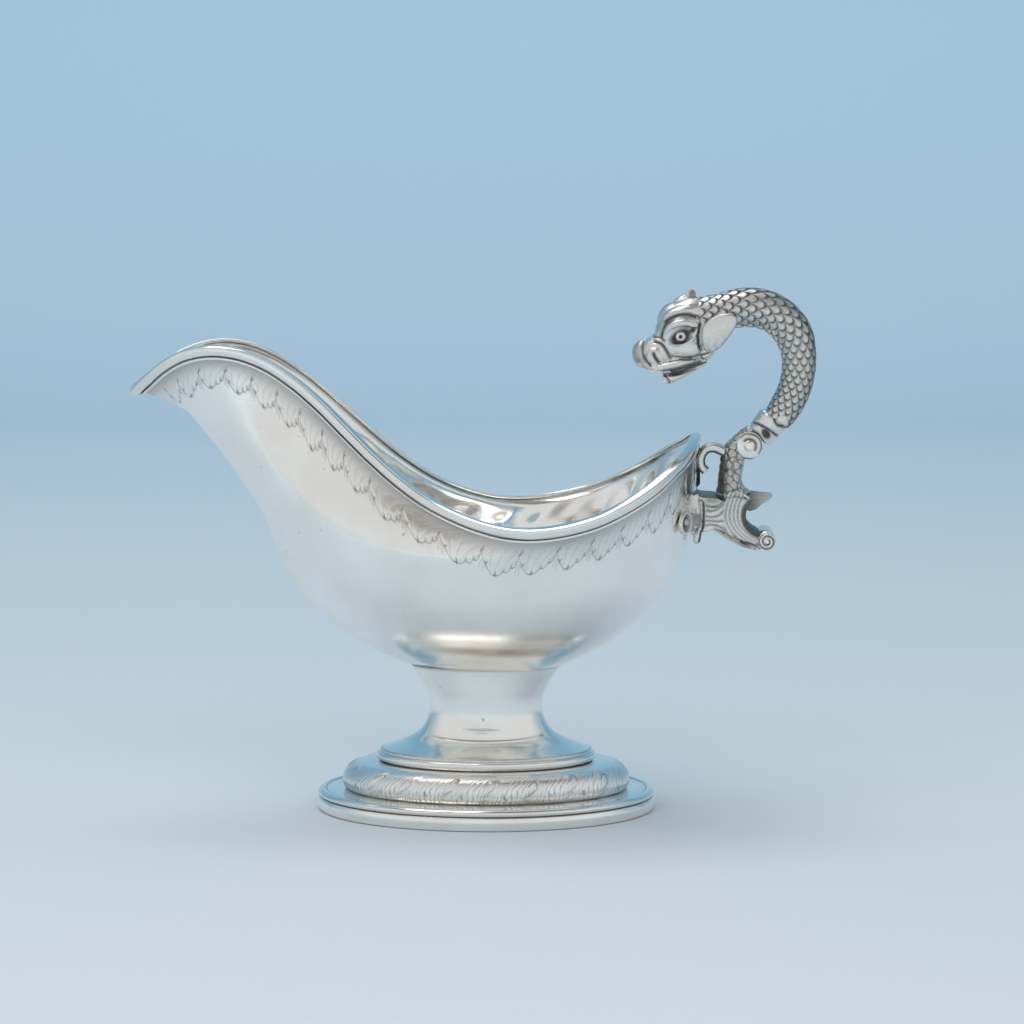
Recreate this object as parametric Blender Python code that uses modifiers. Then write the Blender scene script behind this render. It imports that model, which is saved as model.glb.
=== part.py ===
"""Silver sauce boat with a sea-serpent handle.

Millimetres in the tables below, metres in the scene. +X runs to the handle, -X to the spout,
+Z up, and the sheet silver is symmetric about y = 0. The origin is the middle of the footprint
of the whole object, so the foot stands FOOT_X along X.
"""

import math

import bmesh
import bpy
import numpy as np

COLLECTION = "silver_sauce_boat"
MM = 0.001
FOOT_X = 5.15
GAP = 0.3

WALL = 1.3
COLUMNS = 76
LIP = 1.6
SHOULDER_Z = 98.6
SHOULDER_FRONT = -79.0
SHOULDER_REAR = 74.5
SHOULDER_BEAM = 48.0
SHOULDER_BEAM_X = 15.0
FLAT_BOTTOM_Z = 53.9
FLAT_BOTTOM = 0.362

# Top line of the rim, rear to spout tip: x, half width, z, and x of the same rib at the shoulder.
RIM = [
    (78.0, 0.0, 141.6, 74.5),
    (77.2, 8.5, 140.6, 74.0),
    (75.2, 18.0, 138.0, 72.4),
    (69.5, 31.5, 133.4, 67.0),
    (60.0, 43.8, 126.2, 58.0),
    (50.0, 50.2, 120.6, 48.5),
    (40.0, 53.2, 116.2, 39.0),
    (30.0, 54.2, 113.5, 29.6),
    (20.0, 52.9, 112.0, 20.2),
    (10.0, 49.4, 111.9, 11.0),
    (0.0, 45.0, 113.5, 2.0),
    (-10.0, 40.6, 116.7, -7.0),
    (-20.0, 36.4, 121.5, -15.8),
    (-30.0, 32.2, 128.3, -24.4),
    (-40.0, 27.8, 136.6, -32.8),
    (-50.0, 23.2, 145.9, -41.0),
    (-60.0, 19.4, 155.4, -48.8),
    (-70.0, 17.6, 163.6, -55.8),
    (-80.0, 17.8, 169.9, -62.0),
    (-90.0, 18.6, 173.6, -67.2),
    (-100.0, 18.0, 174.6, -71.4),
    (-110.0, 15.0, 172.8, -74.6),
    (-119.0, 10.6, 168.2, -76.8),
    (-126.0, 6.4, 162.6, -78.2),
    (-130.4, 3.0, 158.6, -78.8),
    (-132.0, 0.0, 156.8, -79.0),
]

# Hull below the shoulder: height, and the waterline as a fraction of the shoulder's.
HULL = [
    (FLAT_BOTTOM_Z, 0.362),
    (56.2, 0.425),
    (59.4, 0.510),
    (63.6, 0.612),
    (69.6, 0.725),
    (76.2, 0.820),
    (82.6, 0.893),
    (90.6, 0.957),
    (SHOULDER_Z, 1.0),
]

# Applied rim: distance down from the top line, height off the wall.
RIM_PROFILE = [
    (0.35, -1.85),
    (0.0, -1.2),
    (0.0, 0.55),
    (0.5, 1.5),
    (1.7, 2.15),
    (2.9, 1.9),
    (3.8, 1.0),
    (3.8, GAP),
    (LIP - GAP, GAP),
    (LIP - GAP, -1.75),
]
BEAD_DOWN = 4.75
BEAD_RADIUS = 0.6

# Oval levels: half length against half width.
OVAL_LENGTH = [12.0, 21.0, 28.0, 40.4, 53.0, 63.0, 70.0]
OVAL_WIDTH = [8.0, 13.0, 15.0, 26.0, 34.0, 44.5, 50.0]
FOOT_SEGMENTS = 44
STEP_SHARE = 0.644
PLATE_SHARE = 0.7065
EDGE_SHARE = 0.708

# Foot sections, each a closed loop of half length and height.
STEM_PROFILE = [
    (27.8, 53.6),
    (26.4, 51.8),
    (23.6, 47.6),
    (21.4, 43.0),
    (21.0, 38.6),
    (21.9, 34.2),
    (24.4, 30.0),
    (29.5, 26.6),
    (35.5, 24.2),
    (39.4, 22.8),
    (39.4, 21.6),
    (34.0, 21.6),
    (28.0, 25.0),
    (22.4, 29.2),
    (19.6, 34.2),
    (18.8, 39.6),
    (19.4, 44.0),
    (22.0, 49.2),
    (23.6, 53.6),
]
FLANGE_PROFILE = [
    (34.0, 21.3),
    (40.0, 21.3),
    (41.0, 20.3),
    (41.0, 19.5),
    (39.6, 18.5),
    (34.0, 18.5),
]
LEAF_BAND_PROFILE = [
    (38.0, 18.2),
    (44.0, 18.2),
    (49.0, 17.2),
    (52.4, 14.8),
    (53.7, 11.8),
    (53.0, 9.2),
    (51.2, 8.0),
    (48.8, 8.0),
    (49.6, 11.0),
    (47.6, 14.2),
    (43.6, 16.2),
    (38.0, 16.8),
]
PLATE_PROFILE = [
    (45.5, 7.7),
    (59.6, 7.5),
    (59.6, 6.1),
    (45.5, 6.3),
]
REED_PROFILE = [
    (59.9, 7.4),
    (60.8, 7.9),
    (62.0, 7.8),
    (63.0, 7.2),
    (63.3, 6.5),
    (62.9, 5.8),
    (61.8, 5.5),
    (59.9, 5.7),
]
RIM_BAND_PROFILE = [
    (58.6, 5.2),
    (62.0, 5.2),
    (62.9, 4.4),
    (63.3, 2.8),
    (63.0, 1.0),
    (62.2, 0.0),
    (58.6, 0.0),
]

# Serpent body: x, z on the centre line, radius in the plane of the loop.
SERPENT = [
    (85.1, 185.4, 6.6),
    (87.2, 186.3, 6.9),
    (92.3, 187.4, 7.2),
    (97.9, 187.8, 7.4),
    (105.8, 185.6, 7.3),
    (113.1, 178.2, 7.2),
    (115.4, 169.3, 6.4),
    (115.0, 162.3, 6.2),
    (113.4, 156.5, 6.1),
    (110.8, 151.3, 6.0),
    (107.5, 146.4, 5.5),
]
SERPENT_ACROSS = 0.93

# Head, back to snout: x, top z, bottom z, half width.
HEAD = [
    (82.2, 192.6, 171.0, 6.2),
    (79.6, 191.4, 169.2, 7.0),
    (76.0, 190.5, 167.5, 7.4),
    (72.0, 189.3, 166.5, 7.8),
    (68.0, 187.5, 165.9, 7.6),
    (65.2, 184.8, 165.2, 6.9),
    (63.4, 180.3, 164.7, 6.2),
    (61.4, 176.5, 164.4, 6.2),
    (58.8, 175.9, 164.3, 6.4),
    (56.6, 174.6, 165.1, 5.4),
    (55.0, 172.6, 167.1, 3.6),
]
HEAD_SIDES = 16
JAW = [
    (83.4, 168.6, 166.6, 2.6),
    (80.0, 167.0, 165.0, 4.0),
    (75.0, 165.4, 162.8, 4.6),
    (71.0, 164.4, 161.2, 5.0),
    (67.6, 163.6, 160.2, 5.0),
    (65.2, 163.0, 160.4, 4.2),
    (64.2, 162.6, 161.2, 2.6),
]

# Flat outlines in the plane of the handle, x and z.
CREST = [
    (73.2, 190.6),
    (76.4, 193.1),
    (78.4, 194.8),
    (79.2, 193.5),
    (79.6, 191.8),
]
BRACKET = [
    (78.8, 118.1),
    (85.0, 118.7),
    (87.6, 116.1),
    (89.2, 118.4),
    (91.0, 119.5),
    (93.6, 119.3),
    (96.2, 118.1),
    (98.0, 117.2),
    (97.2, 115.8),
    (95.4, 115.2),
    (94.6, 112.8),
    (94.8, 109.2),
    (96.2, 106.3),
    (98.8, 103.9),
    (100.6, 103.5),
    (100.8, 99.2),
    (99.8, 98.0),
    (95.4, 99.4),
    (91.4, 101.5),
    (87.6, 104.1),
    (84.8, 105.9),
    (82.4, 105.3),
    (80.2, 104.5),
    (79.8, 101.5),
    (77.2, 101.3),
    (77.8, 105.7),
]
SPUR = [
    (98.6, 119.5),
    (103.0, 118.4),
    (106.2, 118.1),
    (106.4, 116.7),
    (103.4, 115.4),
    (100.6, 113.6),
    (98.8, 112.0),
    (96.0, 112.4),
    (96.2, 114.5),
    (98.4, 115.7),
    (99.2, 117.1),
]
NECK = [
    (135.7, 88.8, 92.2, 5.0),
    (133.5, 88.8, 92.9, 6.2),
    (131.7, 88.2, 94.0, 6.8),
    (130.7, 87.8, 95.8, 7.0),
    (128.4, 87.0, 95.4, 7.4),
    (125.0, 86.6, 94.4, 7.8),
    (122.1, 86.6, 95.0, 8.6),
    (120.1, 86.2, 97.4, 9.6),
]
COLLAR_TOP = (106.3, 146.4)
COLLAR_END = (100.9, 139.5)
COLLAR_PROFILE = [
    (0.0, 5.3),
    (0.5, 6.2),
    (2.0, 6.3),
    (2.7, 5.5),
    (3.4, 5.4),
    (4.0, 5.8),
    (6.2, 5.6),
    (6.8, 5.1),
    (8.6, 4.9),
]
SIDE_X = 74.6
SIDE_Y = 22.4
SIDE_Z = 111.3
SIDE_TURN = 36.9
UPPER_SCROLL = [
    (86.9, 133.2),
    (85.9, 135.0),
    (83.4, 135.8),
    (80.8, 134.9),
    (79.6, 132.3),
    (80.2, 129.3),
    (80.7, 127.5),
]


def smooth(knots, values, at):
    """Cubic curve through the values at the knots."""
    knots = np.asarray(knots, float)
    values = np.asarray(values, float)
    slopes = np.gradient(values, knots, axis=0)
    at = np.asarray(at, float)
    k = np.clip(np.searchsorted(knots, at, side="right") - 1, 0, len(knots) - 2)
    span = knots[k + 1] - knots[k]
    u = (at - knots[k]) / span
    shape = (-1,) + (1,) * (values.ndim - 1)
    u = u.reshape(shape)
    span = span.reshape(shape)
    a = values[k] * (2 * u**3 - 3 * u**2 + 1)
    b = slopes[k] * span * (u**3 - 2 * u**2 + u)
    c = values[k + 1] * (3 * u**2 - 2 * u**3)
    d = slopes[k + 1] * span * (u**3 - u**2)
    return a + b + c + d


def lengths(points):
    """Running length along a polyline."""
    steps = np.linalg.norm(np.diff(points, axis=0), axis=1)
    return np.concatenate([[0.0], np.cumsum(steps)])


def rim_columns(count):
    """Rim stations all round: x, y, z, x at the shoulder, spaced closer at the spout tip."""
    half = np.array(RIM)
    other = half[-2:0:-1].copy()
    other[:, 1] *= -1.0
    loop = np.vstack([half, other])
    closed = np.vstack([loop[-3:], loop, loop[:4]])
    run = lengths(closed[:, :3])
    start = run[3]
    period = run[3 + len(loop)] - start
    tip = run[3 + len(half) - 1] - start
    fine = np.linspace(0.0, period, 2401)
    density = 1.0 + 2.2 * np.exp(-np.abs(fine - tip) / 16.0)
    weight = np.concatenate([[0.0], np.cumsum(0.5 * (density[1:] + density[:-1]))])
    even = np.interp(np.arange(count) / count * weight[-1], weight, fine)
    return smooth(run, closed, start + even)


def shoulder_half_width(x):
    """Half width of the shoulder waterline at x: full at the rear, finer at the bow."""
    if x > SHOULDER_BEAM_X:
        u = (x - SHOULDER_BEAM_X) / (SHOULDER_REAR - SHOULDER_BEAM_X)
        return SHOULDER_BEAM * max(0.0, 1.0 - u**2.3) ** (1 / 2.3)
    u = (SHOULDER_BEAM_X - x) / (SHOULDER_BEAM_X - SHOULDER_FRONT)
    return SHOULDER_BEAM * max(0.0, 1.0 - u**1.75) ** (1 / 1.75)


def rib(station):
    """One rib of the hull, from the rim's top line to the middle of the flat bottom."""
    x, y, z, shoulder_x = station
    side = math.copysign(1.0, y) if abs(y) > 1e-6 else 0.0
    top = np.array([x, y, z])
    low = np.array([shoulder_x, side * shoulder_half_width(shoulder_x), SHOULDER_Z])
    span = top - low
    reach = np.linalg.norm(span)
    lean = low * 0.0
    lean[:2] = low[:2] * 0.0047
    lean[2] = 1.0
    lift = 0.33 * reach
    tip = math.exp(-((y / 9.0) ** 2)) if x < -90.0 else 0.0
    from_low = lean * lift
    from_low = (1 - tip) * from_low + tip * np.array([-5.5, 0.0, 26.0])
    flare = np.array([0.0, side * 0.22, 1.0])
    flare = flare * lift * 0.9
    to_top = (1 - tip) * flare + tip * np.array([-26.0, 0.0, 1.5])
    u = np.linspace(0.0, 1.0, 41).reshape(-1, 1)
    p1 = low + from_low
    p2 = top - to_top
    upper = (
        low * (1 - u) ** 3
        + 3 * p1 * u * (1 - u) ** 2
        + 3 * p2 * u**2 * (1 - u)
        + top * u**3
    )
    levels = np.array(HULL)
    heights = np.linspace(FLAT_BOTTOM_Z, SHOULDER_Z, 40)
    share = smooth(levels[:, 0], levels[:, 1], heights)
    lower = np.stack([share * low[0], share * low[1], heights], axis=1)
    flat = np.linspace(0.0, FLAT_BOTTOM, 12)[1:-1]
    bottom = np.stack([flat * low[0], flat * low[1], flat * 0 + FLAT_BOTTOM_Z], axis=1)
    middle = np.array([[0.0, 0.0, FLAT_BOTTOM_Z]])
    rising = np.vstack([middle, bottom, lower, upper[1:]])
    return rising[::-1]


def skin(stations, downs):
    """Points of the hull's outer skin and their outward normals, at distances under the rim."""
    count = len(stations)
    ribs = [rib(s) for s in stations]
    tops = np.array([r[0] for r in ribs])
    along = np.roll(tops, -1, axis=0) - np.roll(tops, 1, axis=0)
    along /= np.linalg.norm(along, axis=1, keepdims=True)
    grid = np.zeros((count, len(downs) + 2, 3))
    for i, line in enumerate(ribs):
        fall = line[3] - line[0]
        fall /= np.linalg.norm(fall)
        slant = np.linalg.norm(np.cross(fall, along[i]))
        run = lengths(line)
        for j, down in enumerate([-0.4] + list(downs) + [downs[-1] + 0.4]):
            if down < 0:
                grid[i, j] = line[0] + fall * down / slant
                continue
            grid[i, j] = [np.interp(down / slant, run, line[:, k]) for k in range(3)]
    around = np.roll(grid, -1, axis=0) - np.roll(grid, 1, axis=0)
    down = np.zeros_like(grid)
    down[:, 1:-1] = grid[:, 2:] - grid[:, :-2]
    normal = np.cross(down, around)[:, 1:-1]
    normal /= np.linalg.norm(normal, axis=2, keepdims=True)
    return grid[:, 1:-1], normal


def make_material(name, shade, roughness=0.22):
    """One Principled material: polished or darkened silver."""
    material = bpy.data.materials.new(name)
    material.use_nodes = True
    shader = material.node_tree.nodes["Principled BSDF"]
    shader.inputs["Base Color"].default_value = (shade, shade * 0.99, shade * 0.96, 1.0)
    shader.inputs["Metallic"].default_value = 1.0
    shader.inputs["Roughness"].default_value = roughness
    return material


def add_object(name, data, shade):
    """Links a named object with a material of its own."""
    thing = bpy.data.objects.new(name, data)
    data.materials.append(make_material(name, shade))
    bpy.data.collections[COLLECTION].objects.link(thing)
    return thing


def add_loft_mesh(name, points, faces, shade):
    """A named object from points in millimetres about the foot's centre line."""
    mesh = bpy.data.meshes.new(name)
    mesh.from_pydata([(p[0] * MM, p[1] * MM, p[2] * MM) for p in points], [], faces)
    work = bmesh.new()
    work.from_mesh(mesh)
    bmesh.ops.recalc_face_normals(work, faces=work.faces)
    work.to_mesh(mesh)
    work.free()
    mesh.shade_smooth()
    thing = add_object(name, mesh, shade)
    thing.location.x = FOOT_X * MM
    return thing


def loop_faces(rings, sides, closed):
    """Quads between rings of equal count; closed joins the last ring to the first."""
    faces = []
    last = rings if closed else rings - 1
    for i in range(last):
        a = i * sides
        b = (i + 1) % rings * sides
        for j in range(sides):
            k = (j + 1) % sides
            faces.append((a + j, a + k, b + k, b + j))
    return faces


def add_loft(name, rings, closed=False, shade=0.72):
    """A solid through unlike sections, capped at both ends unless it closes on itself."""
    rings = np.asarray(rings, float)
    count, sides = rings.shape[:2]
    faces = loop_faces(count, sides, closed)
    if not closed:
        faces.append(tuple(range(sides)))
        faces.append(tuple(range((count - 1) * sides, count * sides)))
    return add_loft_mesh(name, rings.reshape(-1, 3), faces, shade)


def add_bevel(thing, width, segments):
    """Rounds the sharp edges of a mesh object."""
    edge = thing.modifiers.new("edge", "BEVEL")
    edge.width = width * MM
    edge.segments = segments
    edge.limit_method = "ANGLE"
    edge.angle_limit = math.radians(55.0)


def turned(name, profile, shade, steps, closed):
    """A profile turned about its own Z axis; it runs down its outer side."""
    mesh = bpy.data.meshes.new(name)
    count = len(profile)
    edges = [(i, i + 1) for i in range(count - 1)]
    if closed:
        edges.append((count - 1, 0))
    mesh.from_pydata([(r * MM, 0.0, z * MM) for r, z in profile], edges, [])
    thing = add_object(name, mesh, shade)
    screw = thing.modifiers.new("turn", "SCREW")
    screw.axis = "Z"
    screw.angle = 2 * math.pi
    screw.steps = steps
    screw.render_steps = steps
    screw.use_merge_vertices = True
    screw.merge_threshold = 0.00001
    return thing


def oval_ring(name, profile, share, shade):
    """A turned ring drawn in across the boat, so that it is oval."""
    thing = turned(name, profile, shade, FOOT_SEGMENTS, True)
    thing.scale.y = share
    thing.location.x = FOOT_X * MM
    return thing


def side_curve(name, points, cyclic):
    """A curve object standing in the plane of the handle."""
    curve = bpy.data.curves.new(name, "CURVE")
    curve.dimensions = "2D" if cyclic else "3D"
    spline = curve.splines.new("POLY")
    spline.points.add(len(points) - 1)
    for point, (x, z) in zip(spline.points, points):
        point.co = (x * MM, z * MM, 0.0, 1.0)
    spline.use_cyclic_u = cyclic
    return curve


def stand_up(thing):
    """Turns a flat drawing up into the plane of the handle."""
    thing.rotation_euler.x = math.radians(90.0)
    thing.location.x = FOOT_X * MM


def as_mesh(name, curve, shade):
    """The curve's solid as a mesh object with welded caps."""
    maker = bpy.data.objects.new(name + "_curve", curve)
    bpy.context.scene.collection.objects.link(maker)
    graph = bpy.context.evaluated_depsgraph_get()
    mesh = bpy.data.meshes.new_from_object(maker.evaluated_get(graph))
    bpy.data.objects.remove(maker, do_unlink=True)
    bpy.data.curves.remove(curve)
    work = bmesh.new()
    work.from_mesh(mesh)
    bmesh.ops.remove_doubles(work, verts=work.verts, dist=0.000001)
    bmesh.ops.recalc_face_normals(work, faces=work.faces)
    work.to_mesh(mesh)
    work.free()
    mesh.name = name
    mesh.materials.clear()
    return add_object(name, mesh, shade)


def outline_plate(name, outline, half_width, edge, shade):
    """A side outline carried across the handle, with its edges rounded."""
    curve = side_curve(name, outline, True)
    curve.fill_mode = "BOTH"
    curve.extrude = half_width * MM
    thing = as_mesh(name, curve, shade)
    stand_up(thing)
    add_bevel(thing, edge, 1)
    return thing


def roll(name, x, z, radius, half_width, sides, shade):
    """A volute end: a short bar across the handle with eased ends."""
    work = bmesh.new()
    bmesh.ops.create_cone(
        work,
        cap_ends=True,
        segments=sides,
        radius1=radius * MM,
        radius2=radius * MM,
        depth=2 * half_width * MM,
    )
    mesh = bpy.data.meshes.new(name)
    work.to_mesh(mesh)
    work.free()
    thing = add_object(name, mesh, shade)
    thing.rotation_euler.x = math.radians(90.0)
    thing.location = ((x + FOOT_X) * MM, 0.0, z * MM)
    add_bevel(thing, 0.6, 1)
    return thing


def build_body():
    """Raised bowl with its drawn-out spout: an open shell of even wall."""
    stations = rim_columns(COLUMNS)
    ribs = [rib(s) for s in stations]
    tops = np.array([r[0] for r in ribs])
    along = np.roll(tops, -1, axis=0) - np.roll(tops, 1, axis=0)
    along /= np.linalg.norm(along, axis=1, keepdims=True)
    shares = [0.0, 0.04, 0.1, 0.17, 0.24, 0.31, 0.38, 0.45, 0.52, 0.59, 0.66, 0.73, 0.8, 0.87, 0.94]
    points = []
    for i, line in enumerate(ribs):
        fall = line[3] - line[0]
        fall /= np.linalg.norm(fall)
        slant = np.linalg.norm(np.cross(fall, along[i]))
        run = lengths(line)
        first = LIP / slant
        for share in shares:
            at = first + share * (run[-1] - first)
            points.append([np.interp(at, run, line[:, k]) for k in range(3)])
    rows = len(shares)
    faces = loop_faces(COLUMNS, rows, True)
    faces = [f for f in faces if abs(f[0] % rows - f[1] % rows) == 1]
    pole = len(points)
    points.append([0.0, 0.0, FLAT_BOTTOM_Z])
    for i in range(COLUMNS):
        k = (i + 1) % COLUMNS
        faces.append((i * rows + rows - 1, pole, k * rows + rows - 1))
    thing = add_loft_mesh("body_shell", points, faces, 0.74)
    work = bmesh.new()
    work.from_mesh(thing.data)
    bmesh.ops.recalc_face_normals(work, faces=work.faces)
    low = min(work.faces, key=lambda f: f.calc_center_median().z)
    if low.normal.z > 0:
        bmesh.ops.reverse_faces(work, faces=work.faces)
    work.to_mesh(thing.data)
    work.free()
    shell = thing.modifiers.new("wall", "SOLIDIFY")
    shell.thickness = WALL * MM
    shell.offset = -1.0
    shell.use_even_offset = False
    return thing


def build_rim():
    """Applied moulding over the edge of the bowl, and the bead wire below it."""
    stations = rim_columns(COLUMNS)
    downs = sorted({d for d, _ in RIM_PROFILE} | {BEAD_DOWN + k * 0.3 for k in range(-2, 3)})
    grid, normal = skin(stations, downs)
    rings = []
    for i in range(COLUMNS):
        ring = []
        for down, off in RIM_PROFILE:
            j = downs.index(down)
            ring.append(grid[i, j] + normal[i, j] * off)
        rings.append(ring)
    add_loft("rim_moulding", rings, closed=True, shade=0.8)
    rings = []
    j = downs.index(BEAD_DOWN)
    for i in range(COLUMNS):
        fall = grid[i, j + 1] - grid[i, j - 1]
        fall /= np.linalg.norm(fall)
        middle = grid[i, j] + normal[i, j] * (GAP + BEAD_RADIUS)
        ring = []
        for k in range(6):
            angle = 2 * math.pi * (k + 0.5) / 6
            ring.append(
                middle
                + normal[i, j] * BEAD_RADIUS * math.cos(angle)
                + fall * BEAD_RADIUS * math.sin(angle)
            )
        rings.append(ring)
    add_loft("rim_bead", rings, closed=True, shade=0.8)


def build_stem():
    """Trumpet stem, a hollow whose oval changes its proportion from level to level."""
    rings = []
    for i in range(FOOT_SEGMENTS):
        angle = 2 * math.pi * i / FOOT_SEGMENTS
        ring = []
        for half_length, z in STEM_PROFILE:
            half_width = float(smooth(OVAL_LENGTH, OVAL_WIDTH, [half_length])[0])
            ring.append((half_length * math.cos(angle), half_width * math.sin(angle), z))
        rings.append(ring)
    add_loft("stem_spool", rings, closed=True, shade=0.76)


def build_foot():
    """Stem, stepped flange, leaf band, flat plate and reeded edge, all open below."""
    build_stem()
    oval_ring("foot_flange", FLANGE_PROFILE, STEP_SHARE, 0.78)
    oval_ring("foot_leaf_band", LEAF_BAND_PROFILE, STEP_SHARE, 0.66)
    oval_ring("foot_plate", PLATE_PROFILE, PLATE_SHARE, 0.78)
    oval_ring("foot_reed", REED_PROFILE, EDGE_SHARE, 0.8)
    oval_ring("foot_rim_band", RIM_BAND_PROFILE, EDGE_SHARE, 0.74)


def build_serpent():
    """Cast serpent: one tapering bar bent round the grip."""
    keys = np.array(SERPENT)
    run = lengths(keys[:, :2])
    path = smooth(run, keys, np.linspace(0.0, run[-1], 24))
    curve = side_curve("serpent_body", path[:, :2], False)
    curve.bevel_depth = MM
    curve.bevel_resolution = 5
    curve.use_fill_caps = True
    for point, row in zip(curve.splines[0].points, path):
        point.radius = row[2]
    thing = as_mesh("serpent_body", curve, 0.62)
    stand_up(thing)
    thing.scale.z = SERPENT_ACROSS


def head_rings(table, sides, square):
    """Upright sections along the head, squared a little at their corners."""
    rings = []
    for x, top, bottom, half in table:
        ring = []
        for k in range(sides):
            angle = 2 * math.pi * k / sides
            c = math.cos(angle)
            s = math.sin(angle)
            y = half * math.copysign(abs(s) ** square, s)
            z = 0.5 * (top + bottom) + 0.5 * (top - bottom) * math.copysign(abs(c) ** square, c)
            ring.append((x, y, z))
        rings.append(ring)
    return rings


def build_head():
    """Head with its upper jaw, the lower jaw, the crest and the two cheek fins."""
    keys = np.array(HEAD)
    run = lengths(keys[:, :3])
    path = smooth(run, keys, np.linspace(0.0, run[-1], 18))
    path[:, 0] = np.minimum(path[:, 0], HEAD[0][0])
    add_loft("serpent_head", head_rings(path, HEAD_SIDES, 0.82), shade=0.7)
    add_loft("lower_jaw", head_rings(JAW, 10, 0.85), shade=0.66)
    outline_plate("crest_fin", CREST, 1.3, 0.4, 0.74)
    for name, side in (("cheek_fin_left", -1.0), ("cheek_fin_right", 1.0)):
        build_cheek_fin(name, side)


def build_cheek_fin(name, side):
    """Smooth oval fin lying on the side of the head."""
    work = bmesh.new()
    bmesh.ops.create_uvsphere(work, u_segments=14, v_segments=8, radius=MM)
    mesh = bpy.data.meshes.new(name)
    work.to_mesh(mesh)
    work.free()
    mesh.shade_smooth()
    thing = add_object(name, mesh, 0.78)
    thing.scale = (8.9, 1.5, 5.2)
    thing.rotation_euler.y = -math.radians(38.0)
    thing.location = ((85.8 + FOOT_X) * MM, side * 9.6 * MM, 177.8 * MM)


def build_collar():
    """Turned ferrule under the serpent, running down to its round volute end."""
    count = len(COLLAR_PROFILE)
    profile = [(0.0, 0.0)] + [(r, -at) for at, r in COLLAR_PROFILE]
    profile.append((0.0, -COLLAR_PROFILE[count - 1][0]))
    thing = turned("handle_collar", profile, 0.74, 14, False)
    thing.rotation_euler.y = math.atan2(COLLAR_TOP[0] - COLLAR_END[0], COLLAR_TOP[1] - COLLAR_END[1])
    thing.location = ((COLLAR_TOP[0] + FOOT_X) * MM, 0.0, COLLAR_TOP[1] * MM)


def build_neck():
    """Neck casting between the ferrule and the bracket."""
    rings = []
    for z, left, right, half in NECK:
        ring = []
        for k in range(12):
            angle = 2 * math.pi * k / 12
            c = math.cos(angle)
            s = math.sin(angle)
            x = 0.5 * (left + right) + 0.5 * (right - left) * math.copysign(abs(c) ** 0.8, c)
            ring.append((x, half * math.copysign(abs(s) ** 0.8, s), z))
        rings.append(ring)
    add_loft("handle_neck", rings, shade=0.6)


def build_upper_scroll():
    """C-scroll strap from the neck to the rear peak of the rim, curled back on itself."""
    keys = np.array(UPPER_SCROLL)
    run = lengths(keys)
    path = smooth(run, keys, np.linspace(0.0, run[-1], 16))
    curve = side_curve("upper_scroll", path, False)
    curve.bevel_depth = 1.05 * MM
    curve.bevel_resolution = 1
    curve.extrude = 2.6 * MM
    curve.use_fill_caps = True
    thing = as_mesh("upper_scroll", curve, 0.76)
    stand_up(thing)


def build_side_scroll(name, side):
    """Small oval curl lying on the wall of the bowl beside the bracket."""
    bpy.ops.mesh.primitive_torus_add(
        major_radius=1.0 * MM,
        minor_radius=0.24 * MM,
        major_segments=14,
        minor_segments=6,
    )
    maker = bpy.context.object
    mesh = maker.data.copy()
    bpy.data.objects.remove(maker, do_unlink=True)
    mesh.name = name
    mesh.materials.clear()
    thing = add_object(name, mesh, 0.64)
    thing.scale = (3.6, 4.6, 3.4)
    thing.rotation_euler = (math.radians(90.0), 0.0, math.radians(90.0 + side * SIDE_TURN))
    thing.location = ((SIDE_X + FOOT_X) * MM, side * SIDE_Y * MM, SIDE_Z * MM)


def build_handle():
    """Everything that carries the serpent on the bowl."""
    build_serpent()
    build_head()
    build_collar()
    roll("collar_volute", 97.4, 136.1, 4.7, 5.6, 16, 0.76)
    build_neck()
    build_upper_scroll()
    outline_plate("bracket_leaf", BRACKET, 12.0, 0.6, 0.7)
    roll("bracket_volute", 104.2, 101.2, 3.2, 12.4, 14, 0.72)
    outline_plate("bracket_spur", SPUR, 3.4, 0.5, 0.6)
    build_side_scroll("side_scroll_left", -1.0)
    build_side_scroll("side_scroll_right", 1.0)


def clear():
    """Empties the scene and makes the object's collection."""
    for thing in list(bpy.data.objects):
        bpy.data.objects.remove(thing, do_unlink=True)
    group = bpy.data.collections.new(COLLECTION)
    bpy.context.scene.collection.children.link(group)


def main():
    clear()
    build_body()
    build_rim()
    build_foot()
    build_handle()


main()
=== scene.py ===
"""Looks of the silver sauce boat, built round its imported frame.

Tables are in millimetres about the foot's centre line, like the CAD's: +X is the handle, -X the
spout and +Z is up. The boat is soldered together, so every piece rides on its one body.
"""

import math

import bmesh
import bpy
import numpy as np
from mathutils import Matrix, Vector

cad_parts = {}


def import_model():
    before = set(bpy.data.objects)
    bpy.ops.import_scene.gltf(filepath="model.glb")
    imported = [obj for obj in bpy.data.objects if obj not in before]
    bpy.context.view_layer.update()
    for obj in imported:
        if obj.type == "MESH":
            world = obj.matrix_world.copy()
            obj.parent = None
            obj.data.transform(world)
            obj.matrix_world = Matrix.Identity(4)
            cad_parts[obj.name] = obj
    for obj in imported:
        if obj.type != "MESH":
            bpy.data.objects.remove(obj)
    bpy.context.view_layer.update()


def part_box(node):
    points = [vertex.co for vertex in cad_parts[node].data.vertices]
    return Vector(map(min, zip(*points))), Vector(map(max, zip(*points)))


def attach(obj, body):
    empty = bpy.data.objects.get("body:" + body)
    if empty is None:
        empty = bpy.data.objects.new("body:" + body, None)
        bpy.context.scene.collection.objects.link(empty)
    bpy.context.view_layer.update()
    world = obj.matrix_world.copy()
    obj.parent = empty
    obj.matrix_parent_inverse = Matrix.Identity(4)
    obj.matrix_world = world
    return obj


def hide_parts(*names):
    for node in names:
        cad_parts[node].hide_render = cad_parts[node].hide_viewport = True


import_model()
MM = 0.001
STEM_LOW, STEM_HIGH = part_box("stem_spool")
FOOT_X = 0.5 * (STEM_LOW.x + STEM_HIGH.x)

# --- The hull: the same lines as the CAD's ---------------------------------------------------

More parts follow.
